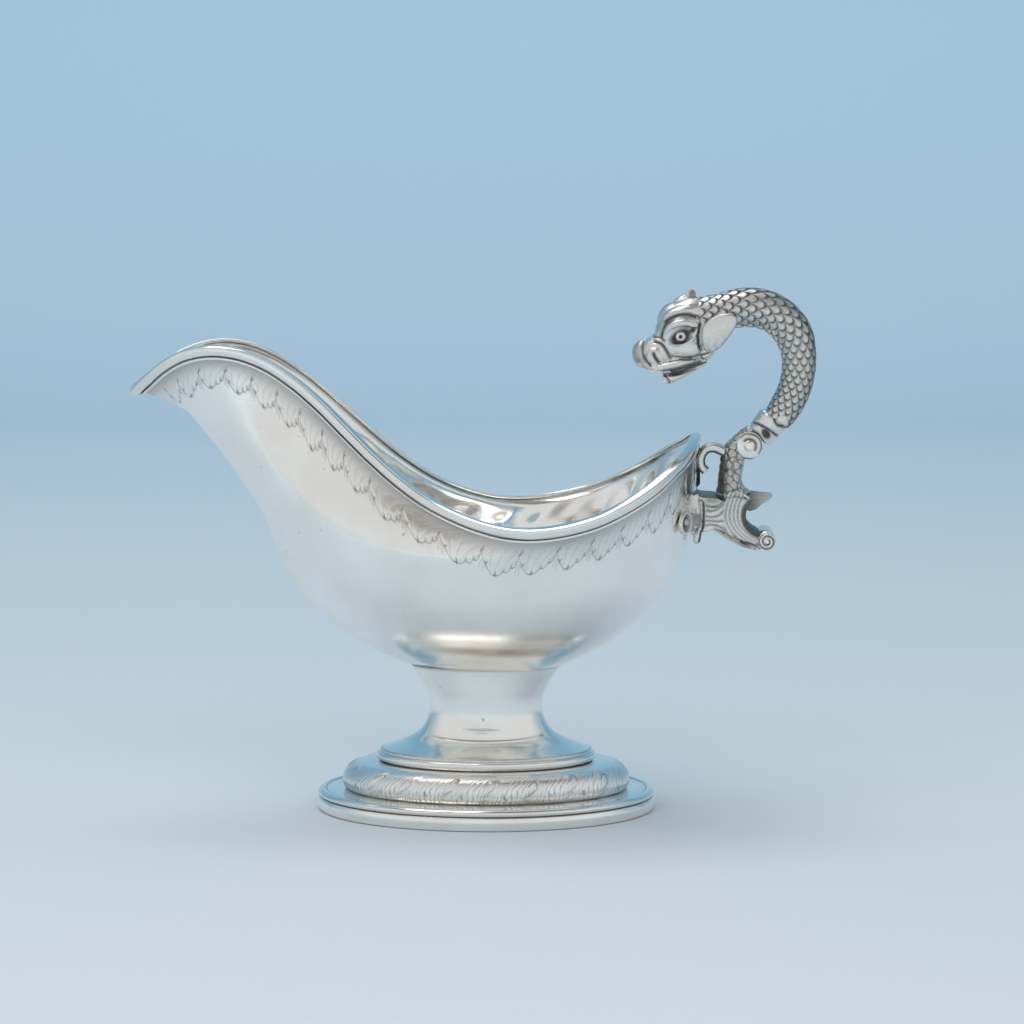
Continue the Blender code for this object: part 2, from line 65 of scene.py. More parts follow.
WALL = 1.3
LIP = 1.6
SHOULDER_Z = 98.6
SHOULDER_FRONT = -79.0
SHOULDER_REAR = 74.5
SHOULDER_BEAM = 48.0
SHOULDER_BEAM_X = 15.0
FLAT_BOTTOM_Z = 53.9
FLAT_BOTTOM = 0.362

# Top line of the rim, rear to spout tip: x, half width, z, and x of the same rib at the shoulder.
RIM = [
    (78.0, 0.0, 141.6, 74.5),
    (77.2, 8.5, 140.6, 74.0),
    (75.2, 18.0, 138.0, 72.4),
    (69.5, 31.5, 133.4, 67.0),
    (60.0, 43.8, 126.2, 58.0),
    (50.0, 50.2, 120.6, 48.5),
    (40.0, 53.2, 116.2, 39.0),
    (30.0, 54.2, 113.5, 29.6),
    (20.0, 52.9, 112.0, 20.2),
    (10.0, 49.4, 111.9, 11.0),
    (0.0, 45.0, 113.5, 2.0),
    (-10.0, 40.6, 116.7, -7.0),
    (-20.0, 36.4, 121.5, -15.8),
    (-30.0, 32.2, 128.3, -24.4),
    (-40.0, 27.8, 136.6, -32.8),
    (-50.0, 23.2, 145.9, -41.0),
    (-60.0, 19.4, 155.4, -48.8),
    (-70.0, 17.6, 163.6, -55.8),
    (-80.0, 17.8, 169.9, -62.0),
    (-90.0, 18.6, 173.6, -67.2),
    (-100.0, 18.0, 174.6, -71.4),
    (-110.0, 15.0, 172.8, -74.6),
    (-119.0, 10.6, 168.2, -76.8),
    (-126.0, 6.4, 162.6, -78.2),
    (-130.4, 3.0, 158.6, -78.8),
    (-132.0, 0.0, 156.8, -79.0),
]

# Hull below the shoulder: height, and the waterline as a fraction of the shoulder's.
HULL = [
    (FLAT_BOTTOM_Z, FLAT_BOTTOM),
    (56.2, 0.425),
    (59.4, 0.510),
    (63.6, 0.612),
    (69.6, 0.725),
    (76.2, 0.820),
    (82.6, 0.893),
    (90.6, 0.957),
    (SHOULDER_Z, 1.0),
]

FINE = 1920
MIDDLE = 960
COARSE = 480
RIB_POINTS = 420
RIB_SOFTENING = 2.4

# Chased leaves under the rim.
LEAF_TOP = 5.3
LEAF_DROP = 10.6
LEAF_DROP_MORE = 1.9
LEAF_HEIGHT = 0.17
# Share of the rim on each side of a leaf over which its pitch is measured.
PITCH_STEP = 0.004
DENT_DEPTH = 0.9
BAND_ROWS = np.concatenate([[LIP, 3.1, 4.5], np.arange(4.9, 19.8, 0.295)])

# Leaves counted from the spout, against the share of the way round to the back.
LEAF_SPREAD = [
    (0.0, 0.0), (0.06, 1.4), (0.14, 3.4), (0.28, 7.3), (0.36, 9.3), (0.47, 11.3), (0.6, 13.4),
    (0.7, 15.3), (0.79, 17.4), (0.88, 19.4), (1.0, 22.0),
]

# Points where the scallops of one leaf's edge meet: share of the pitch, share of the drop.
LEAF_CUSPS = [(0.0, 0.42), (0.09, 0.73), (0.34, 1.0), (0.57, 0.87), (0.78, 0.74), (1.0, 0.42)]
SCALLOP = [0.09, 0.12, 0.06, 0.08, 0.12]
LEAF_HOOKS = [
    ((0.0, 0.44), (0.055, 0.32), 0.95),
    ((0.09, 0.73), (0.15, 0.67), 0.7),
    ((0.34, 0.99), (0.35, 0.93), 0.9),
    ((0.57, 0.87), (0.60, 0.79), 0.6),
    ((0.78, 0.74), (0.81, 0.65), 0.7),
    ((0.90, 0.64), (0.94, 0.56), 0.6),
]
LEAF_FANS = [((0.97, 0.66), (0.90, 0.92)), ((1.0, 0.64), (1.0, 0.98)), ((1.03, 0.66), (1.08, 0.86))]


def smooth(knots, values, at):
    """Cubic curve through the values at the knots."""
    knots = np.asarray(knots, float)
    values = np.asarray(values, float)
    slopes = np.gradient(values, knots, axis=0)
    at = np.asarray(at, float)
    k = np.clip(np.searchsorted(knots, at, side="right") - 1, 0, len(knots) - 2)
    span = knots[k + 1] - knots[k]
    u = (at - knots[k]) / span
    shape = (-1,) + (1,) * (values.ndim - 1)
    u = u.reshape(shape)
    span = span.reshape(shape)
    a = values[k] * (2 * u**3 - 3 * u**2 + 1)
    b = slopes[k] * span * (u**3 - 2 * u**2 + u)
    c = values[k + 1] * (3 * u**2 - 2 * u**3)
    d = slopes[k + 1] * span * (u**3 - u**2)
    return a + b + c + d


def lengths(points):
    """Running length along a polyline."""
    steps = np.linalg.norm(np.diff(points, axis=0), axis=1)
    return np.concatenate([[0.0], np.cumsum(steps)])


def ramp(x):
    """Smooth step from 0 to 1 as x goes from 0 to 1."""
    x = np.clip(x, 0.0, 1.0)
    return x * x * (3 - 2 * x)


def bell(x):
    """Bell curve of height 1 and width 1."""
    return np.exp(-(x**2))


def circle(count):
    """Evenly spaced angles round a full turn."""
    return 2 * math.pi * np.arange(count) / count


def units(vectors):
    """Rows scaled to length one."""
    return vectors / np.linalg.norm(vectors, axis=1, keepdims=True)


def headings(line):
    """Direction of a polyline at each of its points."""
    return units(np.gradient(line, axis=0))


def squared(wave, power):
    """A sine or cosine flattened towards a square wave."""
    return np.sign(wave) * np.abs(wave) ** power


def along(line, run, at):
    """Points of a polyline at running lengths."""
    return np.stack([np.interp(at, run, line[:, k]) for k in range(line.shape[1])], axis=1)


def rim_columns(count):
    """Rim stations all round: x, y, z, x at the shoulder, spaced closer at the spout tip."""
    half = np.array(RIM)
    other = half[-2:0:-1].copy()
    other[:, 1] *= -1.0
    loop = np.vstack([half, other])
    closed = np.vstack([loop[-3:], loop, loop[:4]])
    run = lengths(closed[:, :3])
    start = run[3]
    period = run[3 + len(loop)] - start
    tip = run[3 + len(half) - 1] - start
    fine = np.linspace(0.0, period, 2401)
    density = 1.0 + 2.2 * np.exp(-np.abs(fine - tip) / 16.0)
    weight = np.concatenate([[0.0], np.cumsum(0.5 * (density[1:] + density[:-1]))])
    even = np.interp(np.arange(count) / count * weight[-1], weight, fine)
    return smooth(run, closed, start + even)


def shoulder_half_width(x):
    """Half width of the shoulder waterline at x: full at the rear, finer at the bow."""
    if x > SHOULDER_BEAM_X:
        u = (x - SHOULDER_BEAM_X) / (SHOULDER_REAR - SHOULDER_BEAM_X)
        return SHOULDER_BEAM * max(0.0, 1.0 - u**2.3) ** (1 / 2.3)
    u = (SHOULDER_BEAM_X - x) / (SHOULDER_BEAM_X - SHOULDER_FRONT)
    return SHOULDER_BEAM * max(0.0, 1.0 - u**1.75) ** (1 / 1.75)


def rib(station):
    """One rib of the hull, from the rim's top line to the middle of the flat bottom."""
    x, y, z, shoulder_x = station
    side = math.copysign(1.0, y) if abs(y) > 1e-6 else 0.0
    top = np.array([x, y, z])
    low = np.array([shoulder_x, side * shoulder_half_width(shoulder_x), SHOULDER_Z])
    reach = np.linalg.norm(top - low)
    lean = np.array([low[0] * 0.0047, low[1] * 0.0047, 1.0])
    lift = 0.33 * reach
    tip = math.exp(-((y / 9.0) ** 2)) if x < -90.0 else 0.0
    from_low = (1 - tip) * lean * lift + tip * np.array([-5.5, 0.0, 26.0])
    flare = np.array([0.0, side * 0.22, 1.0]) * lift * 0.9
    to_top = (1 - tip) * flare + tip * np.array([-26.0, 0.0, 1.5])
    u = np.linspace(0.0, 1.0, 121).reshape(-1, 1)
    p1 = low + from_low
    p2 = top - to_top
    upper = low * (1 - u) ** 3 + 3 * p1 * u * (1 - u) ** 2 + 3 * p2 * u**2 * (1 - u) + top * u**3
    levels = np.array(HULL)
    heights = np.linspace(FLAT_BOTTOM_Z, SHOULDER_Z, 120)
    share = smooth(levels[:, 0], levels[:, 1], heights)
    lower = np.stack([share * low[0], share * low[1], heights], axis=1)
    flat = np.linspace(0.0, FLAT_BOTTOM, 32)[:-1]
    bottom = np.stack([flat * low[0], flat * low[1], flat * 0 + FLAT_BOTTOM_Z], axis=1)
    return np.vstack([bottom, lower, upper[1:]])[::-1]


def soften(lines, sigma):
    """Rounds polylines a little with a bell-shaped average; their ends stay."""
    reach = int(3 * sigma)
    kernel = np.exp(-0.5 * (np.arange(-reach, reach + 1) / sigma) ** 2)
    kernel /= kernel.sum()
    head = 2 * lines[:, :1] - lines[:, reach:0:-1]
    tail = 2 * lines[:, -1:] - lines[:, -2 : -reach - 2 : -1]
    padded = np.concatenate([head, lines, tail], axis=1)
    out = np.zeros_like(lines)
    for k, weight in enumerate(kernel):
        out += weight * padded[:, k : k + lines.shape[1]]
    return out


def make_hull():
    """Even, softened ribs at the fine columns, and the arc from the spout tip to each of them."""
    stations = rim_columns(FINE)
    lines = []
    for station in stations:
        line = rib(station)
        run = lengths(line)
        at = np.linspace(0.0, run[-1], RIB_POINTS)
        lines.append(along(line, run, at))
    lines = soften(np.array(lines), RIB_SOFTENING * RIB_POINTS / 100.0)
    tops = lines[:, 0]
    tip = int(np.argmin(tops[:, 0]))
    steps = np.linalg.norm(tops - np.roll(tops, 1, axis=0), axis=1)
    run = np.cumsum(steps)
    arc = np.abs(run - run[tip])
    return lines, arc


HULL_LINES, HULL_ARC = make_hull()


def hull_grid(every, downs, low_shares=()):
    """Hull points and outward normals at every so many columns, at distances under the rim.

    Below the last distance, low_shares are fractions of what is left of each rib."""
    lines = HULL_LINES[::every]
    tops = lines[:, 0]
    ways = units(np.roll(tops, -1, axis=0) - np.roll(tops, 1, axis=0))
    downs = np.asarray(downs, float)
    rows = []
    for line, way in zip(lines, ways):
        fall = line[6] - line[0]
        fall /= np.linalg.norm(fall)
        slant = np.linalg.norm(np.cross(fall, way))
        run = lengths(line)
        at = downs / slant
        last = at[-1]
        at = np.concatenate([at, last + np.asarray(low_shares) * (run[-1] - last)])
        row = along(line, run, at)
        above = at < 0
        row[above] = line[0] + fall * at[above, None]
        rows.append(row)
    grid = np.array(rows)
    return grid, grid_normals(grid, True)


def grid_normals(grid, wrap):
    """Normals of a grid of points; wrap joins its first column to its last."""
    if wrap:
        around = np.roll(grid, -1, axis=0) - np.roll(grid, 1, axis=0)
    else:
        around = np.gradient(grid, axis=0)
    down = np.gradient(grid, axis=1)
    normal = np.cross(down, around)
    size = np.linalg.norm(normal, axis=2, keepdims=True)
    return normal / np.maximum(size, 1e-9)


def segment_distance(x, y, start, end):
    """Distance of points to a straight segment."""
    dx = end[0] - start[0]
    dy = end[1] - start[1]
    t = np.clip(((x - start[0]) * dx + (y - start[1]) * dy) / (dx * dx + dy * dy), 0.0, 1.0)
    return np.hypot(x - start[0] - t * dx, y - start[1] - t * dy)


def leaf_count(share):
    """Leaves passed on the way from the spout to a share of the half rim."""
    knots = np.array(LEAF_SPREAD)
    share = np.clip(np.asarray(share, float), 0.0, 1.0)
    return smooth(knots[:, 0], knots[:, 1], share.ravel()).reshape(share.shape)


def leaf_place(arc, down):
    """Where points fall in their leaf: its pitch and drop in mm, the shares of both, and the edge."""
    total = HULL_ARC.max()
    share = arc / total
    here = np.clip(share, PITCH_STEP, 1.0 - PITCH_STEP)
    passed = leaf_count(here + PITCH_STEP) - leaf_count(here - PITCH_STEP)
    pitch = 2 * PITCH_STEP * total / passed
    drop = LEAF_DROP + LEAF_DROP_MORE * ramp((share - 0.12) / 0.15)
    y = (down - LEAF_TOP) / drop
    sweep = 0.34 * np.clip((LEAF_CUSPS[0][1] - y) / LEAF_CUSPS[0][1], 0.0, 1.3) ** 1.3
    place = leaf_count(share) - sweep
    leaf = np.floor(place)
    u = place - leaf
    y = y * (1.0 + 0.035 * np.sin(2.3 * leaf + 0.7))
    cusps = np.array(LEAF_CUSPS)
    k = np.clip(np.searchsorted(cusps[:, 0], u, side="right") - 1, 0, len(cusps) - 2)
    wide = cusps[k + 1, 0] - cusps[k, 0]
    tall = cusps[k + 1, 1] - cusps[k, 1]
    t = (u - cusps[k, 0]) / wide
    lower = cusps[k, 1] + t * tall + 4 * t * (1 - t) * np.array(SCALLOP)[k]
    slope = tall / wide * drop / pitch
    off = (y - lower) * drop / np.sqrt(1 + slope**2)
    return (pitch, drop), u, y, off, t


def leaf_swell(u, y, off):
    """Soft dome of a leaf, highest low in its middle."""
    inside = ramp(-off / 2.8)
    rise = ramp((y - 0.05) / 0.55)
    return inside * rise * (1.0 - 0.3 * u)


def leaf_dent(u, y):
    """Soft hollow behind a leaf, as the punches leave it inside the bowl."""
    apart = u - 0.42
    apart = apart - np.round(apart)
    return bell(apart / 0.27) * bell((y - 0.45) / 0.34)


def leaf_relief(arc, down):
    """Height in mm and darkness of the leaves, from the arc round the rim and the depth under it; the
    darkness is chased lines, matting and painted shade.
    """
    size, u, y, off, t = leaf_place(arc, down)
    pitch, drop = size
    inside = ramp(0.5 - off / 0.5)
    height = 0.03 * inside + LEAF_HEIGHT * leaf_swell(u, y, off)

    middle = 0.36 + 0.62 * np.clip(1 - y, 0, 1.2) ** 1.2
    width = 0.10 + 0.36 * np.clip(1 - y, 0, 1.2)
    fan = (u - middle + (u < middle - 0.62)) / width
    flute = np.cos(2 * math.pi * 1.1 * fan)
    mask = ramp(-off / 1.2) * ramp((y + 0.05) / 0.2)
    height += 0.022 * flute * mask
    dark = 0.6 * mask * np.clip(-flute, 0, 1) ** 6 * (1 - 0.6 * y)

    broken = 0.6 + 0.4 * (2 * t - 1) ** 2
    line = bell(off / 0.27) * (y > 0.38) * broken
    back = np.minimum(u, 1 - u) * pitch
    edge = bell(back / 0.26) * (y < 0.45) * ramp((y - 0.08) / 0.2)
    dark = np.maximum(dark, np.maximum(line, 0.9 * edge))
    height -= 0.06 * line + 0.05 * edge
    # Partly the matting under the rim, partly painted shade: leaves darker near the rim and at their
    # tops, pale low down.
    shade = 0.4 * bell(np.clip(y, 0, 9) / 0.34) + 0.2 * ramp(-off / 1.5) * np.clip(1 - y, 0, 1)
    dark = np.maximum(dark, shade)

    tip = bell(np.hypot((u - LEAF_CUSPS[2][0]) * pitch, (y - 1.03) * drop) / 0.5)
    dark = np.maximum(dark, tip)
    height -= 0.15 * tip
    for start, end, strength in LEAF_HOOKS:
        stroke = bell(leaf_stroke(u, y, size, start, end) / 0.32)
        dark = np.maximum(dark, strength * stroke)
        height -= 0.08 * stroke
    for start, end in LEAF_FANS:
        for shift in (0.0, 1.0):
            stroke = bell(leaf_stroke(u + shift, y, size, start, end) / 0.2)
            dark = np.maximum(dark, 0.45 * stroke)
            height -= 0.03 * stroke
    fade = ramp((y + 0.04) / 0.06)
    return height * fade, dark


def leaf_stroke(u, y, size, start, end):
    """Distance in mm to a stroke given in shares of the leaf."""
    pitch, drop = size
    return segment_distance(
        u * pitch,
        y * drop,
        (start[0] * pitch, start[1] * drop),
        (end[0] * pitch, end[1] * drop),
    )


# --- Mesh helpers ----------------------------------------------------------------------------


def world(points):
    """Millimetres about the foot's centre line to metres in the frame."""
    out = np.asarray(points, float) * MM
    out[..., 0] += FOOT_X
    return out


def add_object(name, data):
    """A new object in the scene."""
    made = bpy.data.objects.new(name, data)
    bpy.context.scene.collection.objects.link(made)
    return made


def finish_piece(name, mesh, material, node):
    """Links a mesh as a piece of the boat that stands for a CAD node."""
    mesh.materials.clear()
    mesh.materials.append(material)
    piece = add_object(name, mesh)
    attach(piece, "root")
    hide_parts(node)


def closed_mesh(name, points, faces):
    """A mesh from points in millimetres, its faces turned outwards."""
    mesh = bpy.data.meshes.new(name)
    mesh.from_pydata(world(points).tolist(), [], faces)
    work = bmesh.new()
    work.from_mesh(mesh)
    bmesh.ops.recalc_face_normals(work, faces=work.faces)
    work.to_mesh(mesh)
    work.free()
    return mesh


def add_shape(name, points, faces, dark, material, node):
    """A smooth piece with its darkness, oxide in its cuts and painted shade, as a colour attribute."""
    mesh = closed_mesh(name, points, faces)
    set_dark(mesh, dark)
    mesh.shade_smooth()
    finish_piece(name, mesh, material, node)


def set_dark(mesh, dark):
    """Stores how dark each point is: oxide in its cuts and painted shade."""
    layer = mesh.color_attributes.get("oxide_and_painted_shade")
    if layer is None:
        layer = mesh.color_attributes.new("oxide_and_painted_shade", "FLOAT_COLOR", "POINT")
    dark = np.clip(np.ravel(dark), 0.0, 1.0)
    rgba = np.stack([dark, dark, dark, np.ones_like(dark)], axis=1)
    layer.data.foreach_set("color", rgba.ravel())


def grid_faces(columns, rows, wrap_columns, wrap_rows, start=0):
    """Quads of a grid of points listed column by column."""
    last_column = columns if wrap_columns else columns - 1
    last_row = rows if wrap_rows else rows - 1
    faces = []
    for i in range(last_column):
        a = start + i * rows
        b = start + (i + 1) % columns * rows
        for j in range(last_row):
            k = (j + 1) % rows
            faces.append((a + j, b + j, b + k, a + k))
    return faces


def zip_faces(fine, coarse):
    """Faces between a fine loop of points and a coarser one."""
    ratio = len(fine) // len(coarse)
    faces = []
    for i in range(len(coarse)):
        k = (i + 1) % len(coarse)
        edge = [fine[(i * ratio + m) % len(fine)] for m in range(ratio + 1)]
        faces.append(tuple([coarse[k], coarse[i]] + edge))
    return faces


# --- Materials -------------------------------------------------------------------------------


def new_material(name):
    """A material, its node tree and its main shader."""
    material = bpy.data.materials.new(name)
    material.use_nodes = True
    return material, material.node_tree, material.node_tree.nodes["Principled BSDF"]


def set_inputs(node, **values):
    """Sets sockets of a shader node by name; an underscore stands for a space."""
    for key, value in values.items():
        node.inputs[key.replace("_", " ")].default_value = value


def add_noise(tree, place, **values):
    """Noise over the object's own coordinates."""
    node = tree.nodes.new("ShaderNodeTexNoise")
    set_inputs(node, **values)
    tree.links.new(place, node.inputs["Vector"])
    return node.outputs["Fac"]


def add_math(tree, operation, *sources):
    """Result of an operation on sockets and plain numbers."""
    node = tree.nodes.new("ShaderNodeMath")
    node.operation = operation
    for socket, source in zip(node.inputs, sources):
        if isinstance(source, float):
            socket.default_value = source
        else:
            tree.links.new(source, socket)
    return node.outputs["Value"]


def add_range(tree, source, span, reach=(0.0, 1.0)):
    """Maps a value from one span onto another."""
    node = tree.nodes.new("ShaderNodeMapRange")
    set_inputs(node, From_Min=span[0], From_Max=span[1], To_Min=reach[0], To_Max=reach[1])
    tree.links.new(source, node.inputs["Value"])
    return node.outputs["Result"]


def add_stops(tree, source, stops, interpolation="LINEAR"):
    """Colours along a value, from the position and colour of each stop."""
    node = tree.nodes.new("ShaderNodeValToRGB")
    node.color_ramp.interpolation = interpolation
    elements = node.color_ramp.elements
    while len(elements) < len(stops):
        elements.new(0.5)
    for element, (at, colour) in zip(elements, stops):
        element.position = at
        element.color = colour + (1.0,)
    tree.links.new(source, node.inputs["Fac"])
    return node.outputs["Color"]


def add_mix(tree, share, first, second):
    """A socket's colour mixed towards a fixed one."""
    node = tree.nodes.new("ShaderNodeMixRGB")
    node.inputs["Color2"].default_value = second + (1.0,)
    tree.links.new(share, node.inputs["Fac"])
    tree.links.new(first, node.inputs["Color1"])
    return node.outputs["Color"]


def add_bump(tree, shader, height, strength, distance):
    """Bump on a shader's surface."""
    node = tree.nodes.new("ShaderNodeBump")
    set_inputs(node, Strength=strength, Distance=distance)
    tree.links.new(height, node.inputs["Height"])
    tree.links.new(node.outputs["Normal"], shader.inputs["Normal"])


def make_silver(name, bright, rough, oxide_and_shade_strength, grain, relief, spots):
    """Old polished silver: soft tarnish, fine wipe marks, oxide and painted shade from the pieces'
    darkness, tiny pits.
    """
    material, tree, shader = new_material(name)
    shader.inputs["Metallic"].default_value = 1.0
    place = tree.nodes.new("ShaderNodeTexCoord").outputs["Object"]

    clouds = add_noise(tree, place, Scale=38.0, Detail=5.0, Roughness=0.6)
    tarnish = (bright * 0.93, bright * 0.905, bright * 0.865)
    clean = (bright, bright * 0.99, bright * 0.965)
    tint = add_stops(tree, clouds, [(0.32, tarnish), (0.66, clean)])
    pits = add_noise(tree, place, Scale=spots, Detail=2.0, Roughness=0.5)
    pit_mask = add_stops(tree, pits, [(0.72, (0.0, 0.0, 0.0)), (0.80, (0.4, 0.4, 0.4))])

    # Darkness of the pieces' points: oxide in their cuts, and painted shade in hollows, under edges and
    # on faces turned to the dark room.
    oxide_and_painted_shade = tree.nodes.new("ShaderNodeAttribute")
    oxide_and_painted_shade.attribute_name = "oxide_and_painted_shade"
    uneven = add_range(tree, clouds, (0.3, 0.7), (oxide_and_shade_strength * 0.75, oxide_and_shade_strength))
    depth = add_math(tree, "MULTIPLY", oxide_and_painted_shade.outputs["Fac"], uneven)
    stain_and_shade = add_math(tree, "MAXIMUM", depth, pit_mask)
    # Oxide, painted shade and pits mix the silver towards near black.
    colour = add_mix(tree, stain_and_shade, tint, (0.035, 0.032, 0.03))
    tree.links.new(colour, shader.inputs["Base Color"])

    stretch = tree.nodes.new("ShaderNodeMapping")
    set_inputs(stretch, Rotation=(0.35, 0.6, 0.2), Scale=(0.12, 1.0, 1.6))
    tree.links.new(place, stretch.inputs["Vector"])
    wipes = add_noise(tree, stretch.outputs["Vector"], Scale=grain, Detail=6.0, Roughness=0.7)
    polish = add_range(tree, wipes, (0.25, 0.8), (rough * 0.75, rough * 1.5))
    dull = add_math(tree, "MULTIPLY_ADD", stain_and_shade, 0.35, polish)
    tree.links.new(dull, shader.inputs["Roughness"])
    add_bump(tree, shader, add_math(tree, "SUBTRACT", wipes, stain_and_shade), relief, 0.0002)
    return material


POLISHED = make_silver("polished_silver", 0.94, 0.13, 0.93, 900.0, 0.10, 380.0)
EDGE = make_silver("rubbed_edge_silver", 0.87, 0.10, 0.9, 900.0, 0.08, 300.0)
CHASED = make_silver("chased_silver", 0.90, 0.19, 0.95, 1500.0, 0.25, 420.0)
CAST = make_silver("cast_silver", 0.77, 0.24, 0.98, 1300.0, 0.30, 380.0)
CHASED_BODY = make_silver("bowl_silver", 0.95, 0.16, 0.93, 900.0, 0.12, 420.0)
CAST_SMOOTH = make_silver("rubbed_cast_silver", 0.88, 0.18, 0.96, 1100.0, 0.22, 380.0)


# --- Bowl and rim ----------------------------------------------------------------------------


def build_body():
    """Bowl with its spout: chased leaves outside, their reverse inside."""
    band = BAND_ROWS
    outer, out_normal = hull_grid(1, band)
    height, dark = leaf_relief(HULL_ARC[:, None], band[None, :])
    outer = outer + out_normal * height[..., None]
    shares = np.linspace(0.0, 1.0, 40)[1:-1]
    low, _ = hull_grid(FINE // COARSE, band, shares)
    low = low[:, len(band) :]
    inner_band = BAND_ROWS[::2]
    inner, in_normal = hull_grid(FINE // MIDDLE, inner_band)
    _, u, y, _, _ = leaf_place(HULL_ARC[:: FINE // MIDDLE, None], inner_band[None, :])
    dent = soften((DENT_DEPTH * leaf_dent(u, y))[..., None], 1.0)[..., 0]
    inner = inner + in_normal * (dent - WALL)[..., None]
    inner_low, low_normal = hull_grid(FINE // COARSE, inner_band, shares)
    inner_low = (inner_low - low_normal * WALL)[:, len(inner_band) :]

    grids = (outer, low, inner, inner_low)
    poles = [[0, 0, FLAT_BOTTOM_Z], [0, 0, FLAT_BOTTOM_Z + WALL]]
    points = np.vstack([grid.reshape(-1, 3) for grid in grids] + [poles])
    counts = [grid.shape[0] * grid.shape[1] for grid in grids]
    starts = [sum(counts[:k]) for k in range(len(grids) + 1)]
    faces = []
    for grid, start in zip(grids, starts):
        faces += grid_faces(grid.shape[0], grid.shape[1], True, False, start)

    def level(k, row):
        """Point numbers all round one row of grid k; row -1 is its last."""
        columns, rows = grids[k].shape[:2]
        return [starts[k] + i * rows + row % rows for i in range(columns)]

    faces += zip_faces(level(0, -1), level(1, 0))
    faces += zip_faces(level(2, -1), level(3, 0))
    faces += zip_faces(level(0, 0), level(2, 0))
    for k, pole in ((1, starts[-1]), (3, starts[-1] + 1)):
        ring = level(k, -1)
        faces += [(ring[i], pole, ring[(i + 1) % COARSE]) for i in range(COARSE)]
    shade = np.zeros(len(points))
    shade[: counts[0]] = dark.ravel()
    add_shape("bowl", points, faces, shade, CHASED_BODY, "body_shell")


# Applied rim: distance down from the top line, height off the wall.
RIM_PROFILE = [
    (1.3, -1.75), (0.6, -1.9), (0.2, -1.85), (0.03, -1.6), (0.0, -1.2), (0.0, -0.5), (0.0, 0.2),
    (0.03, 0.7), (0.12, 1.12), (0.32, 1.46), (0.65, 1.7), (1.15, 1.83), (1.75, 1.89),
    (2.3, 1.9), (2.8, 1.84), (3.2, 1.66), (3.5, 1.36), (3.75, 0.92), (3.85, 0.5), (3.8, 0.1),
    (1.3, 0.1),
]
BEAD_DOWN = 4.7
BEAD_RADIUS = 0.62
BEAD_GAP = 0.05
BEAD_SIDES = 10


def build_rim():
    """Applied rim moulding, and the bead wire under it."""
    downs = sorted({down for down, _ in RIM_PROFILE})
    bead_rows = [BEAD_DOWN - 0.3, BEAD_DOWN, BEAD_DOWN + 0.3]
    grid, normal = hull_grid(FINE // MIDDLE, downs + bead_rows)
    rows = [downs.index(down) for down, _ in RIM_PROFILE]
    offs = np.array([off for _, off in RIM_PROFILE])
    points = grid[:, rows] + normal[:, rows] * offs[None, :, None]
    # Painted shade on the band's lower edge, where it turns under above the bead.
    dark = np.zeros(points.shape[:2])
    for j, (down, off) in enumerate(RIM_PROFILE):
        dark[:, j] = 0.75 * ramp((down - 3.3) / 0.5) if off > 0 else 0.0
    faces = grid_faces(MIDDLE, len(rows), True, True)
    points = points.reshape(-1, 3)
    add_shape("rim_band", points, faces, dark, EDGE, "rim_moulding")

    above, at, below = range(len(downs), len(downs) + 3)
    out = normal[:, at]
    middle = grid[:, at] + out * (BEAD_RADIUS + BEAD_GAP)
    fall = units(grid[:, below] - grid[:, above])
    turn = circle(BEAD_SIDES)
    points = middle[:, None] + BEAD_RADIUS * (
        out[:, None] * np.cos(turn)[None, :, None] + fall[:, None] * np.sin(turn)[None, :, None]
    )
    # Painted shade on the bead's upper and lower sides and against the wall.
    dark = np.tile(0.9 * ramp((0.35 - np.cos(turn)) / 0.5), (MIDDLE, 1))
    faces = grid_faces(MIDDLE, BEAD_SIDES, True, True)
    points = points.reshape(-1, 3)
    add_shape("rim_bead_wire", points, faces, dark, EDGE, "rim_bead")


# --- Stem and foot ---------------------------------------------------------------------------

# Oval levels: half length against half width.
OVAL_LENGTH = [12.0, 21.0, 28.0, 40.4, 53.0, 63.0, 70.0]
OVAL_WIDTH = [8.0, 13.0, 15.0, 26.0, 34.0, 44.5, 50.0]
STEP_SHARE = 0.644
PLATE_SHARE = 0.7065
EDGE_SHARE = 0.708
FOOT_COLUMNS = 480

# Sections: half length, height. The stem's outer curve runs from the bowl down to the flange.
STEM_OUTER = [
    (28.0, 54.5), (26.4, 51.8), (23.6, 47.6), (21.4, 43.0), (21.0, 38.6), (21.9, 34.2),
    (24.4, 30.0), (29.5, 26.6), (35.5, 24.2), (39.4, 22.8),
]
STEM_INNER = [
    (39.4, 21.4), (34.0, 21.6), (28.0, 25.0), (22.4, 29.2), (19.6, 34.2), (19.4, 44.0),
    (25.4, 54.5),
]
FLANGE = [
    (34.0, 21.9), (39.6, 21.9), (40.9, 21.2), (41.2, 20.2), (40.7, 19.1), (39.4, 18.3), (34.0, 18.3),
]
LEAF_BAND_OUTER = [
    (38.0, 18.35), (44.0, 18.3), (48.6, 17.4), (51.8, 15.5), (53.5, 12.6), (53.5, 9.9),
    (52.2, 7.6),
]
LEAF_BAND_INNER = [(49.2, 7.6), (49.8, 11.0), (47.6, 14.2), (43.6, 16.2), (38.0, 16.8)]
PLATE = [(45.5, 7.75), (59.85, 7.6), (59.85, 6.1), (45.5, 6.3)]
REED = [
    (59.7, 7.3), (60.2, 7.75), (61.0, 7.95), (62.0, 7.75), (62.8, 7.2), (63.2, 6.5),
    (63.0, 5.8), (62.4, 5.35), (59.7, 5.35),
]
RIM_BAND = [
    (58.6, 5.3), (62.2, 5.3), (62.8, 4.9), (63.2, 4.0), (63.35, 2.8), (63.2, 1.4), (62.8, 0.4),
    (62.2, 0.0), (58.6, 0.0),
]


def curve_through(points, count):
    """Smooth curve through points, evenly spaced along it."""
    points = np.asarray(points, float)
    run = lengths(points)
    fine = smooth(run, points, np.linspace(0.0, run[-1], 20 * len(points)))
    run = lengths(fine)
    at = np.linspace(0.0, run[-1], count)
    return along(fine, run, at)


